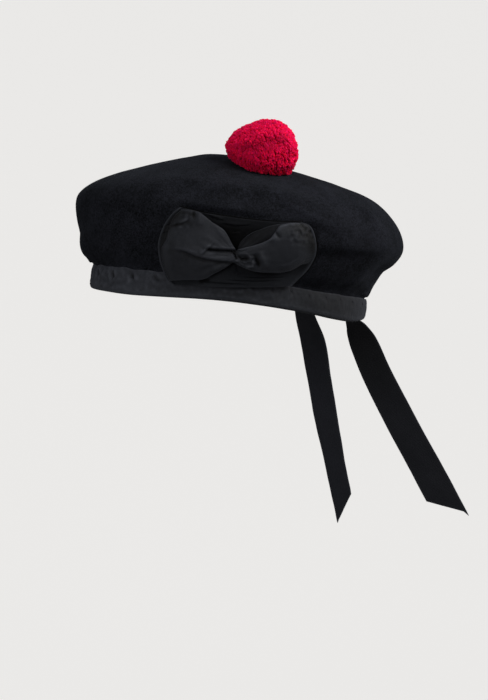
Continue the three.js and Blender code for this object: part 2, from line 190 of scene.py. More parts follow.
# Its rear layer, which shows above the front one toward the back.
BOW_REAR = table(BOW_SIDES, [
    (-40.5, 60.0, -38.6, 13.0, -9.6, 0.9, 0.9),
    (-35.0, 59.6, -33.8, 14.5, -6.5, 1.3, 1.3),
    (-21.0, 51.0, -22.0, 18.0, -3.0, 1.6, 1.6),
    (-7.0, 42.4, -8.0, 24.0, -0.6, 1.8, 1.8),
    (1.8, 36.6, 2.0, 30.2, 0.0, 1.8, 1.8),
    (4.2, 43.8, 7.0, 29.4, 0.0, 1.8, 1.9),
    (10.2, 50.4, 12.0, 28.0, 0.4, 1.8, 2.1),
    (18.1, 54.9, 18.0, 27.0, 0.8, 1.8, 2.3),
    (24.4, 58.0, 27.0, 26.6, 2.5, 1.7, 2.3),
    (32.4, 60.2, 37.0, 28.0, 5.0, 1.4, 2.0),
    (44.0, 61.8, 51.0, 36.0, 7.4, 0.9, 0.9),
])

# The long crease of the bow's front half, from its front end to its waist.
BOW_CREASE = [(-45, 33.5), (-34, 33), (-26, 30.5), (-20, 29.5), (-12, 29), (0.5, 29.5)]

# The bow's folds.
BOW_FOLDS = [
    # the front half: a long crease, and the pleat over it that opens toward the waist as a slot
    fold_line(BOW_CREASE, (1.1, 4), (-1.8, 2.6), fades="start"),
    fold_line([(-15.6, 36.8), (-9.5, 37.2), (0.6, 37.9)], (1.4, 3.4), (-3.4, 2.3), fades="neither"),
    fold_line([(-17.5, 37), (-23, 30.5)], (0.8, 3), (-1.3, 2.4), fades="end"),
    fold_line([(-16, 33.4), (-2, 33.2)], (-1.0, 2.2), (-0.9, 1.8), fades="start"),
    fold_line([(0, 27.6), (-8, 23.6), (-15, 19.6)], (0.7, 2.2), (0.2, 1.6), fades="end"),
    # its upper corner, wrinkled where the end is turned under
    fold_line([(-43, 50.4), (-39, 51.6), (-33, 55.5)], (0.6, 1.7), (-1.6, 1.8), fades="end"),
    fold_line([(-40, 55), (-36, 57.4)], (-1.2, 1.4)),
    fold_line([(-31.0, 61.0), (-30.4, 56)], (-1.3, 1.3), fades="end"),
    fold_line([(-27.2, 60.5), (-25.5, 51)], (0.9, 2.4), fades="end"),
    fold_line([(-47.6, 41), (-44.2, 35), (-45.4, 27)], (-0.8, 2.6)),
    # the back half: the turn of the twist with its dark eye, and what runs out of it
    fold_line(
        [(5.0, 35.2), (9.0, 36.0), (12.8, 33.8), (12.4, 31.0), (8.4, 29.8)],
        (0.8, 1.0), fades="neither"),
    fold_line([(4.5, 33.5), (6.5, 32), (10, 33)], (-1.3, 1.1), fades="neither"),
    fold_line([(13.2, 32.6), (15.0, 30.2), (14.4, 27.6), (11.5, 26.6)], (1.6, 1.3), fades="start"),
    fold_line([(2.8, 30.4), (5.9, 28.6), (8.9, 27.4), (12.3, 26.6)], (1.0, 1.1), fades="neither"),
    fold_line([(-0.8, 36.6), (1.4, 34.4), (2.6, 31.8)], (-2.8, 0.9), fades="neither"),
    fold_line([(14.5, 37.5), (16.5, 34), (18.5, 31), (21, 27)], (-2.1, 1.7), (-2.1, 1.5)),
    fold_line([(18.0, 40), (20.7, 35.0), (23.6, 30.7), (26.6, 27.0)], (1.4, 2.0), (1.4, 1.8)),
    fold_line([(24.2, 48.2), (27.0, 48.8)], (1.3, 1.8), fades="neither"),
    fold_line([(26.4, 56.8), (29, 53), (32.6, 49.2)], (-1.9, 1.2), fades="end"),
    fold_line([(25, 38), (35, 42), (46, 49)], (0.3, 5)),
    fold_line([(30, 30.5), (40, 33), (49, 41)], (-0.3, 3.4), (0.2, 3.4)),
    fold_line([(40, 58), (42, 54)], (-0.4, 1.5), (0.3, 1.6)),
    fold_line([(44.5, 58.6), (47, 54.5)], (0.4, 1.5), (-0.4, 1.5)),
    fold_line([(48.6, 61.0), (50.6, 59.8)], (1.4, 1.2), fades="neither"),
    fold_line([(51.4, 56.8), (51.8, 57.6)], (-1.6, 0.9), fades="neither"),
]

# The patch's own folds.
PATCH_FOLDS = [
    fold_line([(-51.5, 48), (-45, 50.4), (-38, 55.5)], (1.3, 1.7), (-1.0, 1.4), fades="neither"),
    fold_line([(-44, 57), (-38, 60.0), (-32, 60.4)], (1.2, 1.5), (-0.9, 1.2)),
    fold_line([(-50, 43.5), (-46, 45)], (0.8, 1.4), (-0.6, 1.4), fades="end"),
    fold_line([(5, 19.6), (18, 20.5), (42, 24)], (0.6, 1.6), (-0.9, 1.0)),
    fold_line([(-6, 16), (18, 18), (39, 21.4)], (0.6, 1.4), (-0.8, 1.0)),
    fold_line([(-24, 12.4), (-4, 13.8), (18, 15.2)], (0.5, 1.4), (-0.7, 1.0)),
    fold_line([(2.4, 27), (4.5, 23), (4, 19)], (-0.3, 1.3), (0.5, 1.6), fades="end"),
    fold_line([(-22, 60.2), (-14.5, 58.5), (-7.6, 57.4)], (0.6, 1.4), (-0.9, 1.1)),
    fold_line([(-14, 55.5), (0, 55), (13, 57.4)], (0.5, 1.8), (-0.6, 1.3)),
    fold_line([(-3, 49.5), (4, 51)], (-0.4, 2), (0.5, 2)),
]

# Where the bow keeps light off the patch, as folds with a share of the light in place of a height.
PATCH_SHADES = [
    fold_line([(-8.5, 51.5), (-4, 47), (1.0, 38.5)], (0.9, 3.4), (0.9, 1), fades="start"),
    fold_line([(9, 25.6), (20, 23.6), (37, 24.6)], (0.4, 1)),
    fold_line([(-1, 27.6), (-8, 21.2), (-14.5, 16.4)], (0.5, 1), fades="end"),
    fold_line([(-51, 38.5), (-49.4, 42), (-49.2, 45)], (0.5, 2.2)),
    fold_line([(-20, 12.9), (-15.5, 14.2)], (1.0, 1.2), fades="neither"),
    fold_line([(2.0, 43), (3.4, 46), (8, 51)], (0.5, 1.6), (0.5, 1), fades="end"),
]

# The same for the bow's own front layer.
BOW_SHADES = [
    # its crumpled front corner
    fold_line([(-41, 59.4), (-35, 59.2), (-28, 60.2)], (0.5, 1.4), (0.8, 1.8), fades="end"),
    fold_line([(-46.5, 47.0), (-40.5, 51.4), (-35.5, 51.0)], (0.8, 2.6), (0.6, 1.6), fades="end"),
    fold_line([(-31, 59), (-30.2, 54.8)], (0.8, 1.6), fades="end"),
    fold_line([(-45, 55), (-39, 56.5)], (0.7, 3.0), fades="end"),
    fold_line([(-34, 53), (-30, 51)], (0.45, 2.2), fades="end"),
    fold_line([(-24, 59.6), (-16, 56), (-9.5, 52.5)], (0.45, 2.2), (0.45, 2.6)),
    # the eye of its turn, and the slot beside it
    fold_line([(3.5, 33.5), (6.5, 32), (10.5, 33)], (0.8, 1.9), (0.8, 1.8), fades="neither"),
    fold_line([(15.5, 36), (18.5, 31), (20.5, 27.5)], (0.6, 1.5), (0.6, 1.2)),
    # its back end
    fold_line([(28, 61), (45, 61), (54, 52), (57, 42), (53, 34)], (1.0, 6.5)),
]

# Folds in the felt: angles round the hat, and heights.
FELT_FOLDS = [
    # over the cockade, which holds the felt in: a crease and the roll of felt above it
    fold_line([(303, 65.5), (322, 64), (338, 64), (346, 64.5)], (2.2, 7), (-2.2, 2.8)),
    # the crease's ridge, which runs on down behind the cockade
    fold_line([(346, 76), (357, 70.5), (364, 66.6), (371, 62.5)], (2.3, 4), (2.5, 5.5)),
    fold_line([(362, 62), (368, 58.5), (374, 55.5)], (-0.9, 2.6), (-0.9, 3)),
    fold_line([(365.5, 61), (367.5, 52), (367, 42), (364, 33)], (-1.5, 2.0)),
    # behind it the felt hangs over in a brow, and turns under sharply
    fold_line([(356, 50), (366, 49), (380, 50), (394, 52), (408, 56)], (3.0, 13), (3.0, 3.6)),
    fold_line([(366, 40), (380, 41), (396, 43)], (-1.6, 5), (-1.0, 8)),
    fold_line([(387, 86), (393, 73), (391, 60)], (2.6, 2.8), (1.9, 4.5)),
    # the back edge, drawn in below the brow, and the front edge, drawn in over the band
    fold_line([(394, 38), (420, 36), (450, 38)], (-2.6, 6), (-2.8, 8)),
    fold_line([(222, 39), (240, 38), (266, 40)], (-2.8, 14), (-2.8, 7)),
    fold_line([(226, 21), (250, 20), (272, 21)], (3.0, 5), (3.0, 6)),
    fold_line([(408, 20), (428, 19.5), (446, 20)], (2.2, 4.5), (2.2, 6)),
    # long soft folds over the top
    fold_line([(290, 50), (300, 60), (310, 68)], (0.5, 7), (-0.5, 6)),
    fold_line([(330, 94), (350, 92), (370, 86)], (0.4, 6), (-0.4, 6)),
    fold_line([(268, 84), (292, 88), (316, 84)], (-0.4, 6), (0.4, 6)),
]
FELT_PER_DEGREE = 1.9  # millimetres of cloth for each degree round the hat

# Painted light and shade on the felt, with rubbed nap on its ridges: its ridges and its brow paler
# where they face the light, and darker under the brow; folds with a share of tone for a height.
FELT_MARKS = [
    fold_line([(345, 77), (357, 71.5), (364, 67.4), (373, 62)], (0.1, 2.5), (0.2, 4.5)),
    fold_line([(352, 68.5), (359, 65), (364, 62)], (0.14, 4), (0.14, 3)),
    fold_line([(387, 86), (393, 73), (391, 60)], (0.14, 2.4), (0.08, 4)),
    fold_line([(380, 61), (394, 60), (408, 62)], (0.11, 10), (0.11, 9)),
    fold_line([(366, 38), (378, 36), (390, 36)], (-0.09, 9)),
    fold_line([(312, 78), (332, 80), (352, 84)], (0.05, 8)),
]

# Low swells on the flat of the crown: left, back, reach and lift.
FELT_SWELLS = [(-16, -23, 16, 1.4), (-55, -20, 20, -0.8)]

# The band's outer leaf: how far its top edge has slipped down, how far its loose cloth stands
# away from the felt, how much painted shade darkens it under the cockade and the felt's brow
# beside it, and how hard its stitches draw it in.
BAND_LEAF = table("angle slip loose dull drawn", [
    (0, 0.5, 0.0, 0.6, 0.2),
    (15, 1.4, 0.2, 0.8, 0.1),
    (40, 1.8, 0.8, 0.74, 0.1),
    (62, 1.7, 1.5, 0.28, 0.25),
    (84, 1.4, 0.8, 0.0, 0.6),
    (110, 1.0, 0.3, 0.0, 0.8),
    (180, 0.8, 0.2, 0.0, 0.8),
    (245, 1.6, 0.0, 0.0, 1.0),
    (290, 2.0, 0.0, 0.0, 0.85),
    (308, 1.2, 0.0, 0.2, 0.35),
    (330, 0.2, 0.0, 0.6, 0.4),
])

# Each tail's middle line below its stitching: how far out to its own side, back and down, the
# turn of its outer edge toward the back, and the width that shows where its top is bunched.
TAIL_LINE = "out back down turn width"
# Each tail's own share of painted shade darkens the whole of it.
TAILS = {
    "tail_left": {
        "side": 1, "stitch": 68, "slant": 9, "dull": 0.42,
        "line": table(TAIL_LINE, [
            (0, 0, -13, -32, 15),
            (-0.7, -2.0, -2, -6, 17),
            (0.9, 1.6, 6, 20, 20),
            (3.2, 5.8, 16, 29, 23.5),
            (10.2, 13.8, 40, 32, 25),
            (20.8, 28.4, 75, 34, 25),
            (31, 43, 108, 36, 25),
            (43.5, 60.5, 147.5, 37, 25),
        ]),
    },
    "tail_right": {
        "side": -1, "stitch": 112, "slant": 14, "dull": 0.0,
        "line": table(TAIL_LINE, [
            (0, 0, -13, -32, 15),
            (0, 1, 0, -28, 17),
            (3.2, 10, 21, -20, 24.5),
            (9, 19.2, 50, -17, 25),
            (16, 30.4, 85, -12, 25),
            (25, 46, 130, -8, 25),
            (31, 58.8, 169, -6, 25),
        ]),
    },
}

POMPOM_AXES = (26.2, 26.2, 21.3)
POMPOM_BLUNT = (0.5, 0.866, -0.08)  # the way of its fuller end, in the frame's axes
POMPOM_EGG = 0.25  # how much fuller that end is
POMPOM_TUFTS = 620
TUFT_JITTER, END_JITTER = 0.09, 0.035  # how unevenly the tufts and the cut ends are spread
TUFT_PULL = 0.22  # how far a cut end leans to the middle of its tuft
YARN_GAP, HEART_GAP = 0.8, 0.5  # left over the felt by the cut ends and by the heart
RAY_RISE = 0.06  # metres over a point where the search for the felt under it starts
YARN_LIFT = 9  # an end that would need more lift than this is left out
HEART_SIZE = 0.945  # of the ball
POMPOM_SAG = (0.545, -0.62, -0.57)  # the way that it sags, out over the felt
POMPOM_CENTRE = (42.8, -11.8, 113.5)
POMPOM_TIP = Matrix.Rotation(math.radians(2), 3, "X") @ Matrix.Rotation(math.radians(14), 3, "Y")
# Its tie is a short groove, deepest at one place: the ways that they look, in the frame's axes.
TIE_ENDS = ((0.46, -0.88, 0.02), (0.90, 0.16, 0.26))
TIE_DIP = (0.945, -0.216, 0.22)

# ---- Working helpers -------------------------------------------------------------------------


def to_room(points):
    """Points in the hat's own millimetres, in the frame's metres."""
    return np.asarray(points, float) @ TIP.T * MM


def to_hat(points):
    """Points in the frame's metres, in the hat's own millimetres."""
    return np.asarray(points, float) @ TIP / MM


def read_points(mesh):
    points = np.empty(len(mesh.vertices) * 3)
    mesh.vertices.foreach_get("co", points)
    return points.reshape(-1, 3)


def write_points(mesh, points):
    mesh.vertices.foreach_set("co", np.asarray(points, np.float32).ravel())
    mesh.update()


def read_normals(mesh):
    normals = np.empty(len(mesh.vertices) * 3)
    mesh.vertex_normals.foreach_get("vector", normals)
    return normals.reshape(-1, 3)


def set_mark(mesh, name, values):
    """A number at each point of a mesh, which its material reads."""
    mark = mesh.attributes.new(name, "FLOAT", "POINT")
    mark.data.foreach_set("value", np.asarray(values, np.float32).ravel())


def put(name, data):
    """A new object in the scene: a piece, a lamp or the camera."""
    made = bpy.data.objects.new(name, data)
    bpy.context.scene.collection.objects.link(made)
    return made


def pick(piece):
    """Selects one piece alone and makes it active."""
    bpy.ops.object.select_all(action="DESELECT")
    piece.select_set(True)
    bpy.context.view_layer.objects.active = piece


def apply_modifier(piece, kind, **settings):
    pick(piece)
    modifier = piece.modifiers.new(kind.title(), kind)
    for name, value in settings.items():
        setattr(modifier, name, value)
    bpy.ops.object.modifier_apply(modifier=modifier.name)


def thicken(piece, wall, offset=0, even=False):
    apply_modifier(piece, "SOLIDIFY", thickness=wall * MM, offset=offset, use_even_offset=even)


def smooth_step(low, high, x):
    t = np.clip((np.asarray(x, float) - low) / (high - low), 0, 1)
    return t * t * (3 - 2 * t)


def through(knots, values, at, period=None):
    """A smooth curve through the knots, level past its ends, or closed over a period."""
    x, y, at = (np.asarray(a, float) for a in (knots, values, at))
    if period:
        x = np.concatenate([x[-2:] - period, x, x[:2] + period])
        y = np.concatenate([y[-2:], y, y[:2]])
        at = at % period
    slope = np.concatenate([
        [(y[1] - y[0]) / (x[1] - x[0])],
        (y[2:] - y[:-2]) / (x[2:] - x[:-2]),
        [(y[-1] - y[-2]) / (x[-1] - x[-2])],
    ])
    i = np.clip(np.searchsorted(x, at, side="right") - 1, 0, len(x) - 2)
    width = x[i + 1] - x[i]
    t = np.clip((at - x[i]) / width, 0, 1)
    t2, t3 = t * t, t * t * t
    return ((2 * t3 - 3 * t2 + 1) * y[i] + (t3 - 2 * t2 + t) * slope[i] * width
            + (3 * t2 - 2 * t3) * y[i + 1] + (t3 - t2) * slope[i + 1] * width)


def columns_at(rows, at, *names, period=None):
    """Columns of a table, at places along its first column."""
    first = next(iter(rows.values()))
    return [through(first, rows[name], at, period) for name in names]


def noise_at(x, y, z):
    """Smooth noise, about -1 to 1, at each place of a grid."""
    places = np.stack(np.broadcast_arrays(x, y, z), -1)
    values = [noise.noise(Vector(place)) for place in places.reshape(-1, 3).tolist()]
    return np.reshape(values, places.shape[:-1])


def fold_push(across, up, folds, per_unit=1.0, edge=0.45):
    """How far folds push the cloth out at each place, and in where they are negative."""
    push = np.zeros_like(across)
    for fold in folds:
        line = fold["line"] * (per_unit, 1)
        steps = np.hypot(*np.diff(line, axis=0).T)
        done = np.concatenate([[0], np.cumsum(steps)]) / steps.sum()
        nearest = np.full(across.shape, 1e9)
        side, share = np.zeros_like(across), np.zeros_like(across)
        for k, (a, b) in enumerate(zip(line[:-1], line[1:])):
            run = b - a
            px, py = across * per_unit - a[0], up - a[1]
            t = np.clip((px * run[0] + py * run[1]) / (run @ run), 0, 1)
            away = np.hypot(px - t * run[0], py - t * run[1])
            near = away < nearest
            nearest = np.where(near, away, nearest)
            signed = (py * run[0] - px * run[1]) / np.hypot(*run) * (1 if run[0] >= 0 else -1)
            side = np.where(near, signed, side)
            share = np.where(near, done[k] + t * (done[k + 1] - done[k]), share)
        fade = 1.0
        if fold["starts"]:
            fade = fade * smooth_step(0, FOLD_FADE, share)
        if fold["ends"]:
            fade = fade * smooth_step(0, FOLD_FADE, 1 - share)
        high, low = (
            height * np.exp(-(nearest / reach) ** 1.5) for height, reach in (fold["above"], fold["below"])
        )
        over = smooth_step(-edge, edge, side)
        push += fade * (over * high + (1 - over) * low)
    return push


def blurred(values, times):
    """A grid's values, each mixed with its neighbours so many times."""
    for _ in range(times):
        padded = np.pad(values, 1, mode="edge")
        values = (padded[:-2, 1:-1] + padded[2:, 1:-1] + padded[1:-1, :-2] + padded[1:-1, 2:]
                  + 2 * values) / 6
    return values


def grid_sheet(name, points, uv, closed=False, flip=False, **marks):
    """A sheet from rows of points in metres. Its UV map is the flat cloth, in metres, and its
    marks say how much rubbed wear and painted highlight lighten each point, and painted shade darkens it, 0
    to 1."""
    rows, columns = points.shape[:2]
    i, j = np.meshgrid(np.arange(rows - 1), np.arange(columns - (not closed)), indexing="ij")
    i, j = i.ravel(), j.ravel()
    k = (j + 1) % columns
    near, far = i * columns, (i + 1) * columns
    faces = np.stack([near + j, near + k, far + k, far + j], 1)
    corners = np.stack([uv[i, j], uv[i, j + 1], uv[i + 1, j + 1], uv[i + 1, j]], 1)
    if flip:
        faces, corners = faces[:, ::-1], corners[:, ::-1]
    mesh = bpy.data.meshes.new(name)
    mesh.from_pydata(points.reshape(-1, 3).tolist(), [], faces.tolist())
    layer = mesh.uv_layers.new(name="cloth")
    layer.data.foreach_set("uv", corners.astype(np.float32).ravel())
    for mark, values in marks.items():
        values = np.broadcast_to(np.clip(values, 0, 1), (rows, columns))
        set_mark(mesh, mark, values)
    return put(name, mesh)


def dress(piece, material, slot, *nodes, angle=40):
    """Shades a finished piece smooth, gives it its material and its place in the frame, and hides the frame's
    parts that it stands in for.
    """
    pick(piece)
    bpy.ops.object.shade_smooth_by_angle(angle=math.radians(angle))
    piece.data.materials.clear()
    piece.data.materials.append(material)
    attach(piece, BODY)
    if nodes:
        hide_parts(*nodes)
    return piece


def node_points(name):
    """A frame node's points, in the hat's own millimetres."""
    return to_hat(read_points(frame["nodes"][name].data))


def angles_of(points):
    return np.degrees(np.arctan2(points[..., 1], points[..., 0])) % 360


def around(angle, radius, up):
    """Points at angles round the hat, in degrees, at a radius and a height."""
    turn = np.radians(angle)
    return np.stack(np.broadcast_arrays(radius * np.cos(turn), radius * np.sin(turn), up), -1)


def cockade_wall():
    """The smooth wall that the cockade is sewn to, as a depth at each distance across and height."""
    points = node_points("cockade_patch")

    def terms(across, up):
        return np.stack([(across / 60) ** i * (up / 60) ** j for i in range(5) for j in range(4)], -1)

    fit = np.linalg.lstsq(terms(points @ ACROSS, points[:, 2]), points @ OUTWARD, rcond=None)[0]
    return lambda across, up: terms(across, up) @ fit


def band_oval():
    """Half-length and half-width of the oval inside the band."""
    reach = np.abs(node_points("headband")).max(axis=0) - BAND_THICKNESS
    return reach[0], reach[1]


OVAL = band_oval()


def head_radius(angle, out):
    turn = np.radians(angle)
    return 1 / np.hypot(np.cos(turn) / OVAL[0], np.sin(turn) / OVAL[1]) + out


def rim_rise(angle):
    """How far the band's lower edge lifts or sags from level, from the frame's own band."""
    points = node_points("headband")
    turns = np.round(angles_of(points) / 6).astype(int) % 60
    lowest = np.array([points[turns == k, 2].min() for k in range(60)])
    return through(np.arange(60) * 6.0, lowest, angle, period=360)


# ---- Shader groups ---------------------------------------------------------------------------


def new_group(name, inputs, outputs):
    """An empty shader group with its sockets, its input node and its output node."""
    group = bpy.data.node_groups.new(name, "ShaderNodeTree")
    for label, kind, value in inputs:
        socket = group.interface.new_socket(label, in_out="INPUT", socket_type=f"NodeSocket{kind}")
        if value is not None:
            socket.default_value = value
    for label, kind in outputs:
        group.interface.new_socket(label, in_out="OUTPUT", socket_type=f"NodeSocket{kind}")
    return group, group.nodes.new("NodeGroupInput"), group.nodes.new("NodeGroupOutput")


def add(tree, kind, links=(), **settings):
    """A node with its settings; links are (its input, the socket that feeds it or a value)."""
    node = tree.nodes.new(f"ShaderNode{kind}")
    for name, value in settings.items():
        setattr(node, name, value)
    for socket, source in links:
        if isinstance(source, bpy.types.NodeSocket):
            tree.links.new(source, node.inputs[socket])
        else:
            node.inputs[socket].default_value = source
    return node


def maths(tree, operation, a, b=0.0, clamp=False):
    return add(tree, "Math", [(0, a), (1, b)], operation=operation, use_clamp=clamp).outputs[0]


def texture(tree, place, scale, detail, roughness=0.5, distortion=0.0):
    """Smooth noise over a place, 0 to 1, its lumps about 1 / scale metres across."""
    return add(tree, "TexNoise", [
        ("Vector", place), ("Scale", scale), ("Detail", detail), ("Roughness", roughness),
        ("Distortion", distortion)]).outputs["Fac"]


def stretched(tree, value, low, high):
    """A value stretched so that low becomes 0 and high becomes 1."""
    return add(tree, "MapRange", [(0, value), (1, low), (2, high)]).outputs[0]


def weighted(tree, *terms, clamp=False):
    """The sum of some values, each times its own share."""
    parts = [maths(tree, "MULTIPLY", value, share) for value, share in terms]
    total = parts[0]
    for part in parts[1:]:
        total = maths(tree, "ADD", total, part, clamp=clamp and part is parts[-1])
    return total


def mixed(tree, share, a, b, blend="MIX"):
    """Two colours mixed by a share, or one multiplied by the other."""
    return add(tree, "Mix", [("Factor", share), ("A", a), ("B", b)], data_type="RGBA",
               blend_type=blend).outputs["Result"]


def give(group, result, **values):
    """The finished group, its values linked to its output."""
    for label, value in values.items():
        group.links.new(value, result.inputs[label])
    return group


def felt_nap(name):
    """Short matted fibres: a fine height and a mask of how thick the nap lies."""
    group, given, result = new_group(
        name,
        [("Place", "Vector", None), ("Fibre", "Float", 1300.0), ("Cloud", "Float", 55.0)],
        [("Height", "Float"), ("Mask", "Float")],
    )
    place, fibre, cloud = (given.outputs[label] for label in ("Place", "Fibre", "Cloud"))
    fine = texture(group, place, fibre, 3.0, 0.7, 0.8)
    coarse = texture(group, place, maths(group, "MULTIPLY", fibre, 0.38), 4.0, 0.62, 1.6)
    clouds = texture(group, place, cloud, 5.0, 0.58, 0.4)
    layers = [(stretched(group, layer, 0.39, 0.61), share)
              for layer, share in ((clouds, 0.16), (coarse, 0.42), (fine, 0.42))]
    return give(group, result, Height=weighted(group, (fine, 0.4), (coarse, 0.6)),
                Mask=weighted(group, *layers, clamp=True))


def ribbon_weave(name):
    """Ribs across a ribbon and the fine yarns over them. Place is the flat cloth: X along it."""
    group, given, result = new_group(
        name,
        [("Place", "Vector", None), ("Ribs", "Float", 1100.0)],
        [("Height", "Float"), ("Mask", "Float")],
    )
    place = given.outputs["Place"]
    parts = add(group, "SeparateXYZ", [(0, place)])
    turns = maths(group, "MULTIPLY", given.outputs["Ribs"], 2 * math.pi)
    along = maths(group, "MULTIPLY", parts.outputs["X"], turns)
    waver = maths(group, "MULTIPLY", texture(group, place, 260.0, 2.0), 2.4)
    rib = maths(group, "SINE", maths(group, "ADD", along, waver))
    yarn = maths(group, "SINE", maths(group, "MULTIPLY", parts.outputs["Y"], 9000.0))
    slub = texture(group, place, 700.0, 3.0, 0.65)
    mask = maths(group, "ADD", maths(group, "MULTIPLY", rib, 0.2), slub, clamp=True)
    height = weighted(group, (rib, 0.36), (yarn, 0.12), (slub, 0.5))
    return give(group, result, Height=height, Mask=mask)


def soft_tone(name):
    """A colour that drifts between a dark and a light tone over the cloth."""
    group, given, result = new_group(
        name,
        [("Place", "Vector", None), ("Scale", "Float", 40.0), ("Grain", "Float", 0.5),
         ("Grainy", "Float", 0.6), ("Dark", "Color", (0.01, 0.01, 0.01, 1)),
         ("Light", "Color", (0.02, 0.02, 0.02, 1))],
        [("Color", "Color"), ("Share", "Float")],
    )
    drift = texture(group, given.outputs["Place"], given.outputs["Scale"], 4.0, 0.6)
    centred = maths(group, "SUBTRACT", given.outputs["Grain"], 0.5)
    grain = maths(group, "MULTIPLY", centred, given.outputs["Grainy"])
    calm = maths(group, "ADD", maths(group, "MULTIPLY", stretched(group, drift, 0.33, 0.67), 0.3), 0.35)
    share = maths(group, "ADD", calm, grain, clamp=True)
    tone = mixed(group, share, given.outputs["Dark"], given.outputs["Light"])
    return give(group, result, Color=tone, Share=share)


def edge_wear(name):
    """Makes a colour lighter for rubbed wear and painted highlights, and darker for painted shade."""
    group, given, result = new_group(
        name,
        [("Color", "Color", (0.02, 0.02, 0.02, 1)), ("Wear and highlight", "Float", 0.0), ("Painted shade", "Float", 0.0),
         ("Place", "Vector", None), ("Rubbed and highlit", "Color", (0.1, 0.1, 0.1, 1))],
        [("Color", "Color")],
    )
    # rubbed wear and painted highlights lighten the colour toward the rubbed colour
    patchy = maths(group, "ADD", texture(group, given.outputs["Place"], 320.0, 3.0), 0.45)
    wear_and_painted_light = maths(group, "MULTIPLY", given.outputs["Wear and highlight"], patchy, clamp=True)
    # painted shade: the colour darkens where the cloth lies in shade
    shade = maths(group, "MULTIPLY", given.outputs["Painted shade"], 0.92)
    kept = maths(group, "SUBTRACT", 1.0, shade, clamp=True)
    covered = mixed(group, 1.0, given.outputs["Color"], kept, blend="MULTIPLY")
    return give(group, result, Color=mixed(group, wear_and_painted_light, covered, given.outputs["Rubbed and highlit"]))


def add_group(tree, build, links):
    """A shader group in a material; it is built the first time that a material asks for it."""
    name = build.__name__
    shared = bpy.data.node_groups.get(name) or build(name)
    return add(tree, "Group", links, node_tree=shared)


def new_material(name, roughness, sheen=0.0, sheen_roughness=0.5, sheen_tint=(1, 1, 1)):
    """A material with a plain shader; what varies over the surface is linked in afterwards."""
    material = bpy.data.materials.new(name)
    material.use_nodes = True
    shader = material.node_tree.nodes["Principled BSDF"]
    shader.inputs["Roughness"].default_value = roughness
    shader.inputs["Specular IOR Level"].default_value = 0.12
    shader.inputs["Sheen Weight"].default_value = sheen
    shader.inputs["Sheen Roughness"].default_value = sheen_roughness
    shader.inputs["Sheen Tint"].default_value = (*sheen_tint, 1)
    return material, material.node_tree, shader


def mark_value(tree, name):
    """What a mesh's mark says, as a value in its material."""
    return add(tree, "Attribute", attribute_name=name).outputs["Fac"]


def toned(tree, place, scale, dark, light, *links):
    """The outputs of a soft tone between two colours."""
    return add_group(tree, soft_tone, [
        ("Place", place), ("Scale", scale), ("Dark", (*dark, 1)), ("Light", (*light, 1)), *links]).outputs


def set_bump(tree, shader, height, distance, strength=1.0):
    bump = add(tree, "Bump", [("Height", height), ("Distance", distance), ("Strength", strength)])
    tree.links.new(bump.outputs["Normal"], shader.inputs["Normal"])


def felt_material(look):
    material, tree, shader = new_material("black_felt", 0.95, 0.02, 0.35, (0.75, 0.83, 1.0))
    shader.inputs["Specular IOR Level"].default_value = 0.02
    place = add(tree, "TexCoord").outputs["Object"]
    nap = add_group(tree, felt_nap, [("Place", place)])
    # The nap's grain, with painted light and shade from the felt's marks, moves its tone.
    grain = maths(tree, "ADD", nap.outputs["Mask"], mark_value(tree, "wear_and_painted_light"))
    tone = toned(tree, place, 30.0, look.felt_dark, look.felt_light, ("Grain", grain), ("Grainy", 1.6))
    tree.links.new(tone["Color"], shader.inputs["Base Color"])
    set_bump(tree, shader, nap.outputs["Height"], 0.0008, 0.8)
    return material


def ribbon_material(name, dark, light, rubbed_and_highlit, roughness, ribs=1100.0, sheen=0.03, shine=0.12):
    material, tree, shader = new_material(name, roughness, sheen, 0.35, (0.85, 0.88, 0.95))
    shader.inputs["Specular IOR Level"].default_value = shine
    place = add(tree, "UVMap", uv_map="cloth").outputs["UV"]
    weave = add_group(tree, ribbon_weave, [("Place", place), ("Ribs", ribs)])
    tone = toned(tree, place, 45.0, dark, light, ("Grain", weave.outputs["Mask"]))
    # Rubbed wear with painted highlights lightens the ribbon, and painted shade darkens it.
    wear_and_painted_light = add_group(tree, edge_wear, [
        ("Color", tone["Color"]), ("Wear and highlight", mark_value(tree, "wear")),
        ("Painted shade", mark_value(tree, "shelter")), ("Place", place), ("Rubbed and highlit", (*rubbed_and_highlit, 1))])
    tree.links.new(wear_and_painted_light.outputs["Color"], shader.inputs["Base Color"])
    rough = add(tree, "MapRange", [(0, tone["Share"]), (3, roughness + 0.08), (4, roughness - 0.08)])
    tree.links.new(rough.outputs[0], shader.inputs["Roughness"])
    set_bump(tree, shader, weave.outputs["Height"], 0.00012)
    return material


# ---- Pieces ----------------------------------------------------------------------------------


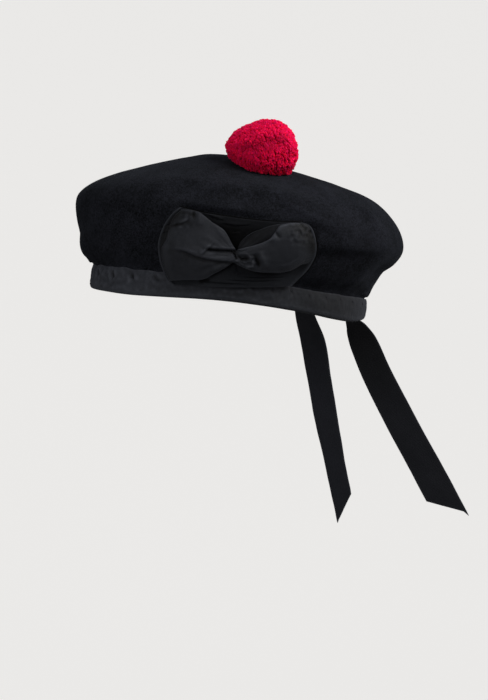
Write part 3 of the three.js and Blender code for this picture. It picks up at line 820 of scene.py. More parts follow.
def make_crown(look):
    """The crown: the frame's own shape, with one felt wall, soft folds and gathers at the band."""
    mesh = frame["nodes"]["crown"].data.copy()
    felt = put("crown_felt", mesh)
    pick(felt)
    bpy.ops.object.mode_set(mode="EDIT")
    bpy.ops.mesh.select_mode(type="FACE")
    bpy.ops.mesh.select_all(action="SELECT")
    bpy.ops.mesh.remove_doubles(threshold=1e-5)
    bpy.ops.mesh.customdata_custom_splitnormals_clear()
    bpy.ops.mesh.select_all(action="DESELECT")
    bpy.ops.object.mode_set(mode="OBJECT")
    # Only the outer face is kept; the wall gets its thickness from it again.
    middle = np.array([0.0, 0.0, 50.0])
    for face in mesh.polygons:
        centre, normal = to_hat(face.center), TIP.T @ np.array(face.normal)
        hem = normal[2] < -0.9 and centre[2] < BAND_HEIGHT / 2
        face.select = bool(hem or (centre - middle) @ normal < 0)
    bpy.ops.object.mode_set(mode="EDIT")
    bpy.ops.mesh.delete(type="FACE")
    bpy.ops.mesh.select_all(action="SELECT")
    joined = math.radians(60)
    bpy.ops.mesh.tris_convert_to_quads(face_threshold=joined, shape_threshold=joined)
    bpy.ops.object.mode_set(mode="OBJECT")
    while mesh.uv_layers:
        mesh.uv_layers.remove(mesh.uv_layers[0])
    apply_modifier(felt, "SUBSURF", levels=2, render_levels=2)
    shape_felt(felt.data)
    thicken(felt, FELT_WALL, offset=-1, even=True)
    return dress(felt, felt_material(look), "felt", "crown", angle=60)


def shape_felt(mesh):
    """Pushes the felt in and out: its folds, its gathers over the band, and its uneven hand."""
    points, normals = to_hat(read_points(mesh)), read_normals(mesh) @ TIP
    angle, up = angles_of(points), points[:, 2]
    turn, radius = np.radians(angle), np.hypot(points[:, 0], points[:, 1])
    [slip] = columns_at(BAND_LEAF, angle, "slip", period=360)
    free = smooth_step(-1, 3.5, up - BAND_HEIGHT + slip)

    def all_round(folds):
        # Folds that cross the wearer's left run past 360 degrees.
        return sum(fold_push(angle + lap, up, folds, per_unit=FELT_PER_DEGREE, edge=2.5) for lap in (0, 360))

    ripple = 0.6 * np.sin(23 * turn + 1.3 * np.sin(5 * turn)) + 0.4 * np.sin(41 * turn + 2 * np.sin(3 * turn))
    near_band = np.exp(-((up - BAND_HEIGHT - 6) / 9) ** 2) * (radius > 60)
    push = all_round(FELT_FOLDS) + 0.45 * ripple * near_band
    for left, back, reach, lift in FELT_SWELLS:
        away = np.hypot(points[:, 0] - left, points[:, 1] - back)
        push += lift * np.exp(-((away / reach) ** 2)) * (up > 70)
    push += 0.6 * noise_at(*points.T / 34) + 0.34 * noise_at(*(points / 12 + (7, 3, 5)).T)
    push *= free
    # The cockade holds the felt in where it covers it.
    covered = (np.abs((angle - 330 + 180) % 360 - 180) < 34) & (up < 62)
    push = np.where(covered, np.minimum(push, 0), push)
    # Painted light and shade, with rubbed nap on the ridges, for the felt's material.
    set_mark(mesh, "wear_and_painted_light", all_round(FELT_MARKS))
    write_points(mesh, to_room(points + normals * push[:, None]))


def stitch_places():
    """Each stitch's angle round the hat, its height, how hard it pulls, and its slant."""
    rng = random.Random(8)
    places = []
    for k in range(STITCHES):
        angle = STITCH_START + (k + rng.uniform(-0.05, 0.05)) * 360 / STITCHES
        slip, drawn = map(float, columns_at(BAND_LEAF, angle, "slip", "drawn", period=360))
        height = BAND_HEIGHT - STITCH_DROP - 0.5 * slip + rng.uniform(-0.6, 0.6)
        pull, slant = drawn * rng.uniform(0.75, 1.1), STITCH_SLANT + rng.uniform(-0.25, 0.25)
        places.append((angle, height, pull, slant))
    return places


def make_headband(look):
    """The headband: one ribbon folded over the felt's raw edge, its fold soft and round."""
    columns = 900
    angle = np.arange(columns) * 360.0 / columns
    rise = rim_rise(angle)
    slip, loose, dull, drawn = columns_at(BAND_LEAF, angle, "slip", "loose", "dull", "drawn", period=360)
    half = BAND_THICKNESS / 2
    leaf = 0.45  # from each leaf's face to its middle line
    fold = half - leaf
    turns = np.linspace(0, math.pi, 11)
    outer = [(half + fold, up) for up in np.linspace(BAND_HEIGHT, half + 0.6, 26)]
    bend = [(half + fold * math.cos(t), half - fold * math.sin(t)) for t in turns]
    inner = [(half - fold, up) for up in np.linspace(half + 1, INNER_LEAF_HEIGHT, 6)]
    section = np.array(outer + bend + inner)
    out, up = section[:, 0][:, None], section[:, 1][:, None]
    climb = np.clip((up - half) / (BAND_HEIGHT - half), 0, 1)
    outside = (np.arange(len(section)) < len(outer))[:, None]
    facing = np.clip((out - half + fold) / (2 * fold), 0, 1)  # 1 on the outer leaf, 0 on the inner
    arc = np.radians(angle) * np.mean(OVAL)
    # The outer leaf bellies a little, and is drawn in at slanting puckers and at small tacks.
    belly = 0.55 * np.sin(math.pi * np.clip(up / BAND_HEIGHT, 0, 1)) * outside
    pucker, tack, cheeks = (np.zeros((len(section), columns)) for _ in range(3))
    for turn, height, pull, slant in stitch_places():
        along = np.radians((angle - turn + 180) % 360 - 180) * np.mean(OVAL)
        over = up - height
        lean = along * math.cos(slant) + over * math.sin(slant)
        side = over * math.cos(slant) - along * math.sin(slant)
        pucker += pull * np.exp(-((side / 1.2) ** 2) - (lean / 2.8) ** 4) * outside
        cheeks += pull * np.exp(-((np.abs(side) - 2.9) / 1.3) ** 2 - (lean / 3.0) ** 4) * outside
        tack += pull * np.exp(-((along - 7) ** 2 + (up - TACK_RISE) ** 2) / 0.9 ** 2) * outside
    ring = np.stack([np.cos(np.radians(angle)), np.sin(np.radians(angle))])
    waver, fine = noise_at(*7 * ring, up / 14), noise_at(*32 * ring, up / 3.4)
    drop, ruffle = noise_at(*3 * ring, 9), noise_at(*11 * ring, 4)
    hang = loose * facing * (1 - 0.15 * climb)
    shift = (belly - 1.2 * pucker - 0.5 * tack + 0.4 * cheeks + hang - 0.5 * climb ** 6 * outside
             + (0.5 * waver + (0.16 + 0.22 * drawn) * fine) * outside)
    grid = around(angle, head_radius(angle, out + shift), up + (1 - climb) * (rise + 0.25 * drop)
                  - (slip + (0.3 + 0.9 * drawn) * ruffle) * climb * outside)
    length = np.concatenate([[0], np.cumsum(np.hypot(*np.diff(section, axis=0).T))])
    wrapped = np.append(arc, 2 * math.pi * np.mean(OVAL))
    uv = np.stack(np.broadcast_arrays(wrapped[None, :], length[:, None]), -1) * MM
    # Rubbed wear with painted highlights: on the fold's bend, the top edge, the puffs beside the puckers and
    # ripple crests.
    wear = np.exp(-((up - half) / 2.2) ** 2) * np.ones_like(waver) * 0.2 * (out > half)
    wear = wear + 0.3 * np.exp(-((up - BAND_HEIGHT) / 0.6) ** 2) * outside + 0.45 * cheeks
    wear = wear + 0.7 * drawn * np.clip(fine, 0, 1) * outside
    # Painted shade in the puckers, at the tacks, in the ripples' troughs, and under the cockade and the
    # felt's brow.
    band = grid_sheet("headband_ribbon", to_room(grid), uv, closed=True, flip=True, wear=wear,
                      shelter=0.9 * pucker + 0.7 * tack + dull + 0.5 * drawn * np.clip(-fine, 0, 1))
    thicken(band, BAND_WALL, even=True)
    material = ribbon_material("ribbon_of_band", look.band_dark, look.band_light, look.rubbed_and_highlit, 0.72)
    dress(band, material, "band_ribbon", "headband")
    length = BAND_HEIGHT + INNER_LEAF_HEIGHT + math.pi * fold - 2 * half
    return band


def one_stitch():
    """A short bar of thread, thinner at its ends, lying along X."""
    bpy.ops.object.select_all(action="DESELECT")
    bpy.ops.mesh.primitive_cylinder_add(vertices=6, radius=0.26 * MM, depth=1.5 * MM,
                                        rotation=(0, math.radians(90), 0))
    bar = bpy.context.object
    bpy.ops.object.transform_apply(location=True, rotation=True, scale=True)
    bpy.ops.object.mode_set(mode="EDIT")
    bpy.ops.mesh.select_mode(type="FACE")
    for side in (-1, 1):
        bpy.ops.mesh.select_all(action="DESELECT")
        bpy.ops.object.mode_set(mode="OBJECT")
        for face in bar.data.polygons:
            face.select = face.normal.x * side > 0.9
        bpy.ops.object.mode_set(mode="EDIT")
        bpy.ops.mesh.extrude_region_move(TRANSFORM_OT_translate={"value": (side * 0.7 * MM, 0, -0.3 * MM)})
        bpy.ops.transform.resize(value=(1, 0.45, 0.45))
    bpy.ops.object.mode_set(mode="OBJECT")
    return bar


def make_stitches(look):
    """The thread that holds the band's top edge to the felt, one small stitch at each step."""
    bar = one_stitch()
    shape = read_points(bar.data)
    faces = [list(face.vertices) for face in bar.data.polygons]
    bpy.data.objects.remove(bar)
    band = BVHTree.FromObject(bpy.data.objects["headband_ribbon"], bpy.context.evaluated_depsgraph_get())
    points, joined = [], []
    for angle, up, _, slant in stitch_places():
        start = Vector(to_room(around(angle, head_radius(angle, 30), up)))
        toward = Vector(to_room(around(angle, -1.0, 0.0))).normalized()
        hit, normal, _, _ = band.ray_cast(start, toward)
        if hit is None:
            raise RuntimeError("a stitch misses the headband")
        normal = normal if normal.dot(toward) < 0 else -normal
        upward = Vector(TIP @ (0, 0, 1))
        along = upward.cross(normal).normalized()
        along = Matrix.Rotation(slant, 3, normal) @ along
        axes = Matrix((along, normal.cross(along), normal)).transposed()
        base = len(points)
        points += [list(hit + axes @ Vector(p) + normal * 0.12 * MM) for p in shape]
        joined += [[base + v for v in face] for face in faces]
    mesh = bpy.data.meshes.new("band_stitches")
    mesh.from_pydata(points, [], joined)
    stitches = put("band_stitches", mesh)
    material, tree, shader = new_material("black_thread", 0.7, 0.03, 0.4)
    place = add(tree, "TexCoord").outputs["Object"]
    tone = toned(tree, place, 900.0, look.tail_dark, look.tail_light)
    tree.links.new(tone["Color"], shader.inputs["Base Color"])
    return dress(stitches, material, "band_ribbon", angle=50)


def on_wall(wall, across, up, off):
    """Points that stand off the cockade's wall, in the hat's own millimetres."""
    depth = wall(across, up) + off
    return across[..., None] * ACROSS + depth[..., None] * OUTWARD + up[..., None] * np.array([0, 0, 1.0])


def patch_edges(across):
    """Heights of the patch's lower and upper edges at a distance across."""
    return columns_at(PATCH_EDGES, across, "low", "high")


def patch_sides(across, up):
    """Half-widths of the patch toward the front and the back, at a place on it."""
    low, high = patch_edges(across)
    share = (up - low) / (high - low)
    return columns_at(PATCH_SIDES, share, "front", "back")


def make_patch(material):
    """The cockade's patch: a flat length of ribbon with rounded, turned-in ends."""
    wall = cockade_wall()
    ends = np.linspace(0, 0.03, 6)
    # Its back end and its upper edge are turned under by a millimetre, out of the light.
    behind = 1 + np.array([0.3, 1.2]) / PATCH_LENGTH
    beyond = 1 + np.array([0.3, 1.1]) / PATCH_BREADTH
    across = np.concatenate([ends, np.linspace(0.037, 0.963, 124), 1 - ends[::-1], behind])
    up, across = np.meshgrid(np.concatenate([np.linspace(0, 1, 81), beyond]), across, indexing="ij")
    front, back = columns_at(PATCH_SIDES, up, "front", "back")
    u = -front + (front + back) * across
    low, high = patch_edges(u)
    v = low + (high - low) * up
    under = (across > 1) | (up > 1)
    to_side = np.minimum(u + front, back - u)
    hem = 0.75 * np.exp(-(((to_side - 1.3) / 1.2) ** 2))
    to_edge = np.minimum(v - low, high - v)
    creases = fold_push(u, v, PATCH_FOLDS) * smooth_step(0, 4, to_side)
    off = 0.75 + hem + 1.3 * creases + 0.35 * noise_at(u / 15, v / 9, 3) * smooth_step(0, 5, to_side)
    off = np.where(under, 0.3, off)
    uv = np.stack([u, v], -1) * MM
    # Painted highlight with rubbed wear along its hems and edges.
    hem_mark = np.exp(-((to_side / 1.5) ** 2))
    wear = (0.25 * hem_mark + 0.1 * np.exp(-((to_edge / 0.6) ** 2))) * ~under
    # Painted shade on the patch, recessed under the bow and the felt: less at its ends, foot and top edge,
    # none on its hems, full where it is turned under, and more along the bow's shade lines.
    shelter = 0.92 - 0.12 * smooth_step(-38, -44, u) - 0.3 * smooth_step(22, 44, u)
    shelter = shelter - 0.5 * smooth_step(36, 18, v)
    shelter = shelter * (1 - 0.25 * smooth_step(8, 3, high - v)) * (1 - hem_mark)
    shelter = np.where(under, 1.0, shelter + fold_push(u, v, PATCH_SHADES))
    points = to_room(on_wall(wall, u, v, off))
    patch = grid_sheet("cockade_patch_ribbon", points, uv, wear=wear, shelter=shelter)
    thicken(patch, PATCH_WALL, offset=-1)
    dress(patch, material, "cockade_ribbon", "cockade_patch")
    return patch


def bow_layer(name, sides, folds, shades, wall, shelter, end=None, rows=72, columns=230):
    """One layer of the bow's ribbon, between its upper and lower edges."""
    s = np.linspace(0, 1, columns)
    middle_run = np.diff(sides["top_across"] + sides["low_across"]) / 2
    knots = np.concatenate([[0], np.cumsum(np.hypot(middle_run, 1.2))])
    knots /= knots[-1]
    value = {key: through(knots, column, s) for key, column in sides.items()}
    t = np.linspace(1, 0, rows)[:, None]  # from its upper edge down
    arch = (4 * t * (1 - t)) ** 0.75
    # Its front half slopes away from a ridge, and its back half is evenly round.
    roof = np.minimum(t / BOW_RIDGE, (1 - t) / (1 - BOW_RIDGE)) ** 0.7
    roof = roof + ((1 - (2 * t - 1) ** 2) ** 0.34 - roof) * smooth_step(0.38, 0.5, s)
    u = value["top_across"] * t + value["low_across"] * (1 - t) + value["bulge"] * arch
    v = value["top"] * t + value["low"] * (1 - t)
    # Its ends run along the patch's own sides, or along its own line at the front.
    front, back = patch_sides(u, v)
    if end is not None:
        [front] = columns_at(end, v, "out")
    u += (0.9 - front - u) * smooth_step(0.06, 0, s) + (back - 0.9 - u) * smooth_step(0.94, 1, s)
    swell = value["rim"] + (value["middle"] - value["rim"]) * roof
    ends = smooth_step(0, 0.06, s) * smooth_step(0, 0.06, 1 - s)
    # Fine gathers run out of the waist and fade toward the ends.
    waist_u, waist_v = 1.5, 33.5
    ray = np.arctan2(v - waist_v, np.abs(u - waist_u) + 2)
    away = np.hypot(u - waist_u, v - waist_v)
    gathers = 0.2 * (np.sin(17 * ray + np.where(u < waist_u, 0.4, 1.9)) * 0.6 + np.sin(31 * ray + 1) * 0.4)
    gathers = gathers * smooth_step(2, 9, away) * (1 - smooth_step(16, 40, away))
    hand = 0.5 * noise_at(u / 11, v / 11, 6) + 0.16 * noise_at(u / 5, v / 5, 2)
    # Both ends' upper corners are crumpled.
    corners = smooth_step(41, 51, v) * (smooth_step(33, 41, u) + smooth_step(-28, -36, u))
    crumple = noise_at(u / 2.9, v / 2.9, 8) * corners
    relief = blurred(fold_push(u, v, folds), 2) + 0.55 * crumple
    off = np.maximum(swell + (relief + gathers + hand) * ends, 0.8)
    # Painted highlight, with rubbed wear, on the fold crests and hems.
    crest = np.clip((off - blurred(off, 6)) * 3.0, 0, 1) * ends
    hems = np.maximum(np.exp(-(((1 - t) * 60 / 0.9) ** 2)), np.exp(-((t * 60 / 0.9) ** 2)))
    wear = 0.5 * crest + 0.25 * hems * (1 - shelter * 3)
    # Painted shade in the folds' valleys, where the layer lies low near its front, below the long crease,
    # along its shade lines, and over the layer as a whole by its own share.
    crease = np.interp(u, *zip(*BOW_CREASE))
    under = smooth_step(0.2, -1.2, v - crease) * smooth_step(0, -4, u)
    flat = 0.5 * (1 - smooth_step(1.2, 3.6, off)) * smooth_step(36, 20, u)
    deep = np.clip(-relief * 0.3, 0, 1) + flat + 0.24 * under + fold_push(u, v, shades) + shelter
    along = np.concatenate([[0], np.cumsum(np.hypot(*np.diff([u.mean(0), off.mean(0)], axis=1)))])
    uv = np.stack(np.broadcast_arrays(along[None, :], (1 - t) * 54), -1) * MM
    return grid_sheet(name, to_room(on_wall(wall, u, v, off)), uv, flip=True, wear=wear, shelter=deep)


def make_bow(material):
    """The cockade's bow: a flattened loop of ribbon, pinched and twisted at its middle."""
    wall = cockade_wall()
    # The rear layer gets painted shade all over, as it lies behind the front one.
    rear = bow_layer("bow_rear_layer", BOW_REAR, [], [], wall, 0.3, rows=40, columns=140)
    thicken(rear, BOW_WALL)
    dress(rear, material, "cockade_ribbon")
    front = bow_layer("bow_front_layer", BOW_FRONT, BOW_FOLDS, BOW_SHADES, wall, 0.0, end=BOW_FRONT_END)
    thicken(front, BOW_WALL)
    dress(front, material, "cockade_ribbon", "cockade_bow")
    return front


def over_felt(crown, up, point):
    """How far a point is above the crown's felt, in metres, or None where no felt is under it."""
    hit, _, _, _ = crown.ray_cast(point + up * RAY_RISE, -up)
    return None if hit is None else (point - hit).dot(up)


def one_strand(sides, steps):
    """A cut end of yarn along Z, one unit long and one across, with a rounded tip."""
    bpy.ops.object.select_all(action="DESELECT")
    bpy.ops.mesh.primitive_circle_add(vertices=sides, radius=0.5, fill_type="NGON")
    strand = bpy.context.object
    bpy.ops.object.mode_set(mode="EDIT")
    bpy.ops.mesh.select_mode(type="FACE")
    bpy.ops.mesh.select_all(action="SELECT")
    widths = [1.0] * (steps - 1) + [0.9, 0.5]
    rises = [0.93 / steps] * steps + [0.07]
    for step, (width, rise) in enumerate(zip(widths, rises)):
        before = 1.0 if step == 0 else widths[step - 1]
        bpy.ops.mesh.extrude_region_move(TRANSFORM_OT_translate={"value": (0, 0, rise)})
        bpy.ops.transform.resize(value=(width / before, width / before, 1))
    bpy.ops.object.mode_set(mode="OBJECT")
    return strand


def spiral_place(k, count, rng, jitter):
    """One of a number of places spread evenly over a ball of radius one, a little displaced."""
    z = 1 - 2 * (k + 0.5) / count
    turn = math.pi * (3 - math.sqrt(5)) * k
    ring = math.sqrt(1 - z * z)
    place = Vector((ring * math.cos(turn), ring * math.sin(turn), z))
    return (place + Vector([rng.gauss(0, jitter) for _ in range(3)])).normalized()


def make_pompom(look):
    """The pompom: cut ends of yarn fanning out of one tie, over a heart of the same yarn, painted dark as
    shade.
    """
    rng = random.Random(11)
    centre = Vector(to_room(POMPOM_CENTRE))
    turn = Matrix(TIP.tolist()) @ POMPOM_TIP
    first, last, dip = ((turn.inverted() @ Vector(way)).normalized() for way in (*TIE_ENDS, TIE_DIP))
    ties = [(first.slerp(last, k / 20) + noise.noise_vector(Vector((k / 3, 0, 0))) * 0.06).normalized()
            for k in range(21)]
    crown = BVHTree.FromObject(bpy.data.objects["crown_felt"], bpy.context.evaluated_depsgraph_get())
    up = Vector(TIP @ (0, 0, 1))

    blunt, sag = ((turn.inverted() @ Vector(way)).normalized() for way in (POMPOM_BLUNT, POMPOM_SAG))

    def reach(direction):
        """Radius of the trimmed ball in a direction of its own axes: an egg, dimpled at the tie."""
        along = direction.dot(blunt)
        rest = (direction - blunt * along) / (1 + POMPOM_EGG * along)
        shape = rest + blunt * along
        size = 1 / math.sqrt(sum((d / a) ** 2 for d, a in zip(shape, POMPOM_AXES)))
        groove, deepest = (math.degrees(math.acos(min(1.0, nearness))) for nearness in
                           (max(map(direction.dot, ties)), direction.dot(dip)))
        sink = 1.2 * math.exp(-((groove / 8) ** 2)) + 2.6 * math.exp(-((deepest / 12) ** 2))
        lump = noise.noise(direction * 2.6) * 0.7 + noise.noise(direction * 6.0) * 0.3
        lump += 4.5 * math.exp(-((math.degrees(math.acos(min(1.0, direction.dot(sag)))) / 24) ** 2))
        return (size + lump - sink) * MM

    strand = one_strand(4, 2)
    shape = read_points(strand.data)
    faces = [list(face.vertices) for face in strand.data.polygons]
    bpy.data.objects.remove(strand)
    count = look.strands
    # Cut ends cling together in tufts, each with its own length and its own tone.
    tufts = [spiral_place(k, POMPOM_TUFTS, rng, TUFT_JITTER) for k in range(POMPOM_TUFTS)]
    tuft_traits = [(rng.gauss(0, 0.012), rng.random(), Vector([rng.gauss(0, 0.1) for _ in range(3)]))
                   for _ in tufts]
    nearby = KDTree(POMPOM_TUFTS)
    for k, tuft in enumerate(tufts):
        nearby.insert(tuft, k)
    nearby.balance()
    points, joined, tones, painted_root_shade = [], [], [], []
    for k in range(count):
        tip = spiral_place(k, count, rng, END_JITTER)
        _, mine, _ = nearby.find(tip)
        tip = tip.lerp(tufts[mine], TUFT_PULL).normalized()
        longer, shade, lean = tuft_traits[mine]
        tie = max(ties, key=tip.dot)
        angle = tip.angle(tie)
        axis = tie.cross(tip).normalized()
        # the yarn leaves the tie bunched, and near it lies along the ball instead of standing
        lying = float(smooth_step(math.radians(44), math.radians(12), angle))
        start = Matrix.Rotation(angle * (0.45 - 0.4 * lying), 3, axis) @ tie
        start = (start + lean).normalized()
        length = reach(tip) * (1 + longer + rng.gauss(0, 0.004) + (0.03 if rng.random() < 0.01 else 0))
        wide = look.strand_width * rng.uniform(0.85, 1.2)
        path = []
        for share in (0.68, 0.79, 0.9, 1.0):
            bend = ((share - 0.5) / 0.5) ** 0.7
            heading = start.slerp(tip, bend)
            deep = (0.65 - 0.4 * lying) * (1 - share)
            path.append(centre + turn @ (heading * length * (1 - deep)))
        # ends beside the felt, and those that lie in the tie's groove, get less light
        gap = over_felt(crown, up, path[-1])
        tucked = 0.0 if gap is None else float(smooth_step(12, 4, gap / MM))
        tucked = max(0.85 * tucked, 0.5 * float(smooth_step(15, 4, math.degrees(angle))))
        # what would go into the felt is lifted out of it, or left out
        if gap is not None and gap < YARN_GAP * MM:
            lift = YARN_GAP * MM - gap
            if lift > YARN_LIFT * MM:
                continue
            path = [p + up * lift * ((i + 1) / len(path)) ** 2 for i, p in enumerate(path)]
        path = np.array([list(p) for p in path])
        run = path[-1] - path[-2]
        run /= np.linalg.norm(run)
        side = np.cross(run, (0.31, 0.52, 0.79))
        side /= np.linalg.norm(side)
        over = np.cross(run, side)
        spin = rng.uniform(0, 2 * math.pi)
        side, over = (side * math.cos(spin) + over * math.sin(spin),
                      over * math.cos(spin) - side * math.sin(spin))
        place = np.clip(shape[:, 2], 0, 1) * (len(path) - 1)
        i = np.minimum(place.astype(int), len(path) - 2)
        along = path[i] + (path[i + 1] - path[i]) * (place - i)[:, None]
        base = len(points)
        points.extend(along + (shape[:, :1] * side + shape[:, 1:2] * over) * wide)
        joined += [[base + v for v in face] for face in faces]
        tones += [0.6 * shade + 0.4 * rng.random()] * len(shape)
        # Painted shade: darker toward the root, deep in the ball, and more where the end is tucked.
        painted_root_shade += list(shape[:, 2] * (1 - tucked))
    mesh = bpy.data.meshes.new("pompom_yarn")
    mesh.from_pydata([list(p) for p in points], [], joined)
    set_mark(mesh, "tone", tones)
    set_mark(mesh, "length", painted_root_shade)
    yarn = put("pompom_yarn", mesh)
    dress(yarn, yarn_material(look), "red_wool", "pompom", angle=70)
    make_heart(centre, turn, reach, crown, up)
    return yarn


def make_heart(centre, turn, reach, crown, up):
    """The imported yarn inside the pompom, which shows between the cut ends."""
    bpy.ops.object.select_all(action="DESELECT")
    bpy.ops.mesh.primitive_ico_sphere_add(subdivisions=5, radius=1)
    heart = bpy.context.object
    heart.name = heart.data.name = "pompom_heart"
    shaped = []
    for vertex in heart.data.vertices:
        direction = vertex.co.normalized()
        size = reach(direction) * HEART_SIZE + noise.noise(direction * 14) * 0.5 * MM
        point = centre + turn @ (direction * size)
        gap = over_felt(crown, up, point)
        if gap is not None and gap < HEART_GAP * MM:
            point += up * (HEART_GAP * MM - gap)
        shaped.append(point)
    write_points(heart.data, shaped)
    # Painted shade: the heart takes a dark tone and the darkest root shade of the yarn.
    for name in ("tone", "length"):
        set_mark(heart.data, name, [0.2] * len(shaped))
    return dress(heart, bpy.data.materials["red_yarn"], "red_wool", angle=70)


def yarn_material(look):
    material, tree, shader = new_material("red_yarn", 0.95, 0.3, 0.45, (1.0, 0.06, 0.2))
    shader.inputs["Specular IOR Level"].default_value = 0.05
    shader.inputs["Subsurface Weight"].default_value = 0.5
    shader.inputs["Subsurface Radius"].default_value = (1.0, 0.08, 0.16)
    shader.inputs["Subsurface Scale"].default_value = 0.005
    place = add(tree, "TexCoord").outputs["Object"]
    nap = add_group(tree, felt_nap, [("Place", place), ("Fibre", 1700.0), ("Cloud", 240.0)])
    colour = toned(tree, place, 120.0, look.red_deep, look.red_bright, ("Grain", mark_value(tree, "tone")))
    # Painted shade: the length mark darkens the yarn toward its roots and where it is tucked.
    length = mark_value(tree, "length")
    deep = add(tree, "MapRange", [(0, length), (1, 0.35), (2, 0.95), (3, 0.58), (4, 1.0)])
    shaded = mixed(tree, 1.0, colour["Color"], deep.outputs[0], blend="MULTIPLY")
    tree.links.new(shaded, shader.inputs["Base Color"])
    set_bump(tree, shader, nap.outputs["Height"], 0.0004, 0.8)
    return material


def make_tail(name, tail, material):
    """One ribbon tail: stitched inside the band, hanging back, its end cut on a slant."""
    side, line, slant = tail["side"], tail["line"], tail["slant"]
    stitch = to_room(around(tail["stitch"], head_radius(tail["stitch"], -TAIL_INSET), 0.0)) / MM

    def line_at(down):
        out, back = (through(line["down"], line[key], down) for key in ("out", "back"))
        return np.stack([stitch[0] + side * out, stitch[1] + back, stitch[2] - down], -1)

    rows, columns = 150, 13
    share = np.linspace(0, 1, rows)[:, None]
    outward = np.linspace(-1, 1, columns)[None, :]
    first, last = line["down"][0], line["down"][-1] - slant
    down = first + (last - first) * share + share ** 3 * slant * outward
    turn = np.radians(through(line["down"], line["turn"], down))
    along = line_at(down + 1) - line_at(down - 1)
    along /= np.linalg.norm(along, axis=-1, keepdims=True)
    edge = np.stack([side * np.cos(turn), np.sin(turn), np.zeros_like(turn)], -1)
    edge -= along * (edge * along).sum(-1, keepdims=True)
    edge /= np.linalg.norm(edge, axis=-1, keepdims=True)
    face = np.cross(edge, along) * side
    width = np.minimum(TAIL_WIDTH, through(line["down"], line["width"], down))
    bunch = (1 - width / TAIL_WIDTH) * 5 * (1 - outward ** 2)
    centre_down = down[:, columns // 2, None]
    drift = noise_at(centre_down / 38, outward * 0.55, side * 5)
    fine = noise_at(centre_down / 9, outward * 1.4, side * 3)
    lay = (1.3 * drift + 0.2 * fine) * smooth_step(4, 26, down)
    grid = line_at(down) + edge * (outward * width / 2)[..., None] + face * (lay - bunch)[..., None]
    uv = np.stack(np.broadcast_arrays(down, (outward + 1) * TAIL_WIDTH / 2), -1) * MM
    wear = 0.2 * (np.abs(outward) > 0.9) * np.ones_like(down)
    wear[-1] = 0.7
    # Painted shade toward the top, under the hat, and over the whole tail by its own share.
    shelter = 0.5 * (1 - smooth_step(10, 80, down)) + tail["dull"]
    ribbon = grid_sheet(name + "_ribbon", grid * MM, uv, wear=wear, shelter=shelter, flip=side < 0)
    thicken(ribbon, TAIL_WALL)
    dress(ribbon, material, "tail_ribbon", name)
    return ribbon


# ---- Studio ----------------------------------------------------------------------------------

VIEW_FROM = (60.0, 4.5)  # degrees round from the front toward the wearer's left, and up
AIM_ACROSS, AIM_UP = 0.0125, -0.034
LENS, SENSOR = 167.4, 36.0  # millimetres
FLOOR_RADIUS, FLOOR_CURVE, WALL_HEIGHT = 5.0, 2.5, 6.0  # metres
CURVE_STEPS = 12


def make_floor(look):
    """A pale floor that curves up into a wall all round."""
    bpy.ops.object.select_all(action="DESELECT")
    low = frame_low() - look.floor_drop
    bpy.ops.mesh.primitive_circle_add(vertices=128, radius=FLOOR_RADIUS, fill_type="NGON",
                                      location=(0, 0, low))
    bowl = bpy.context.object
    bowl.name = bowl.data.name = "floor"
    bpy.ops.object.transform_apply(location=True, rotation=True, scale=True)
    bpy.ops.object.mode_set(mode="EDIT")
    bpy.ops.mesh.select_mode(type="FACE")
    bpy.ops.mesh.select_all(action="SELECT")
    bpy.ops.mesh.select_mode(type="EDGE")
    bpy.ops.mesh.region_to_loop()
    turns = [math.radians(90) * (k + 1) / CURVE_STEPS for k in range(CURVE_STEPS)]
    places = [(FLOOR_RADIUS + FLOOR_CURVE * math.sin(t), FLOOR_CURVE * (1 - math.cos(t))) for t in turns]
    places.append((FLOOR_RADIUS + FLOOR_CURVE, WALL_HEIGHT))
    radius, height = FLOOR_RADIUS, 0.0
    for reach, up in places:
        bpy.ops.mesh.extrude_edges_move(TRANSFORM_OT_translate={"value": (0, 0, up - height)})
        grow = reach / radius
        bpy.ops.transform.resize(value=(grow, grow, 1), center_override=(0, 0, low + up))
        radius, height = reach, up
    bpy.ops.mesh.select_mode(type="FACE")
    bpy.ops.mesh.select_all(action="SELECT")
    bpy.ops.mesh.normals_make_consistent(inside=True)
    bpy.ops.object.mode_set(mode="OBJECT")
    pick(bowl)
    bpy.ops.object.shade_smooth()
    material, tree, shader = new_material("pale_floor", 0.9)
    place = add(tree, "TexCoord").outputs["Object"]
    light = [c * look.floor_return for c in look.floor_colour]
    dark = [c * 0.97 * look.floor_return for c in look.floor_colour]
    tree.links.new(toned(tree, place, 0.6, dark, light)["Color"], shader.inputs["Base Color"])
    shader.inputs["Emission Color"].default_value = (*look.floor_colour, 1)
    # The floor glows for the camera more than for the hat, so that it stays pale and even.
    seen = add(tree, "LightPath").outputs["Is Camera Ray"]
    glow = add(tree, "MapRange", [(0, seen), (3, 0.0), (4, look.floor_glow)])
    tree.links.new(glow.outputs[0], shader.inputs["Emission Strength"])
    bowl.data.materials.append(material)


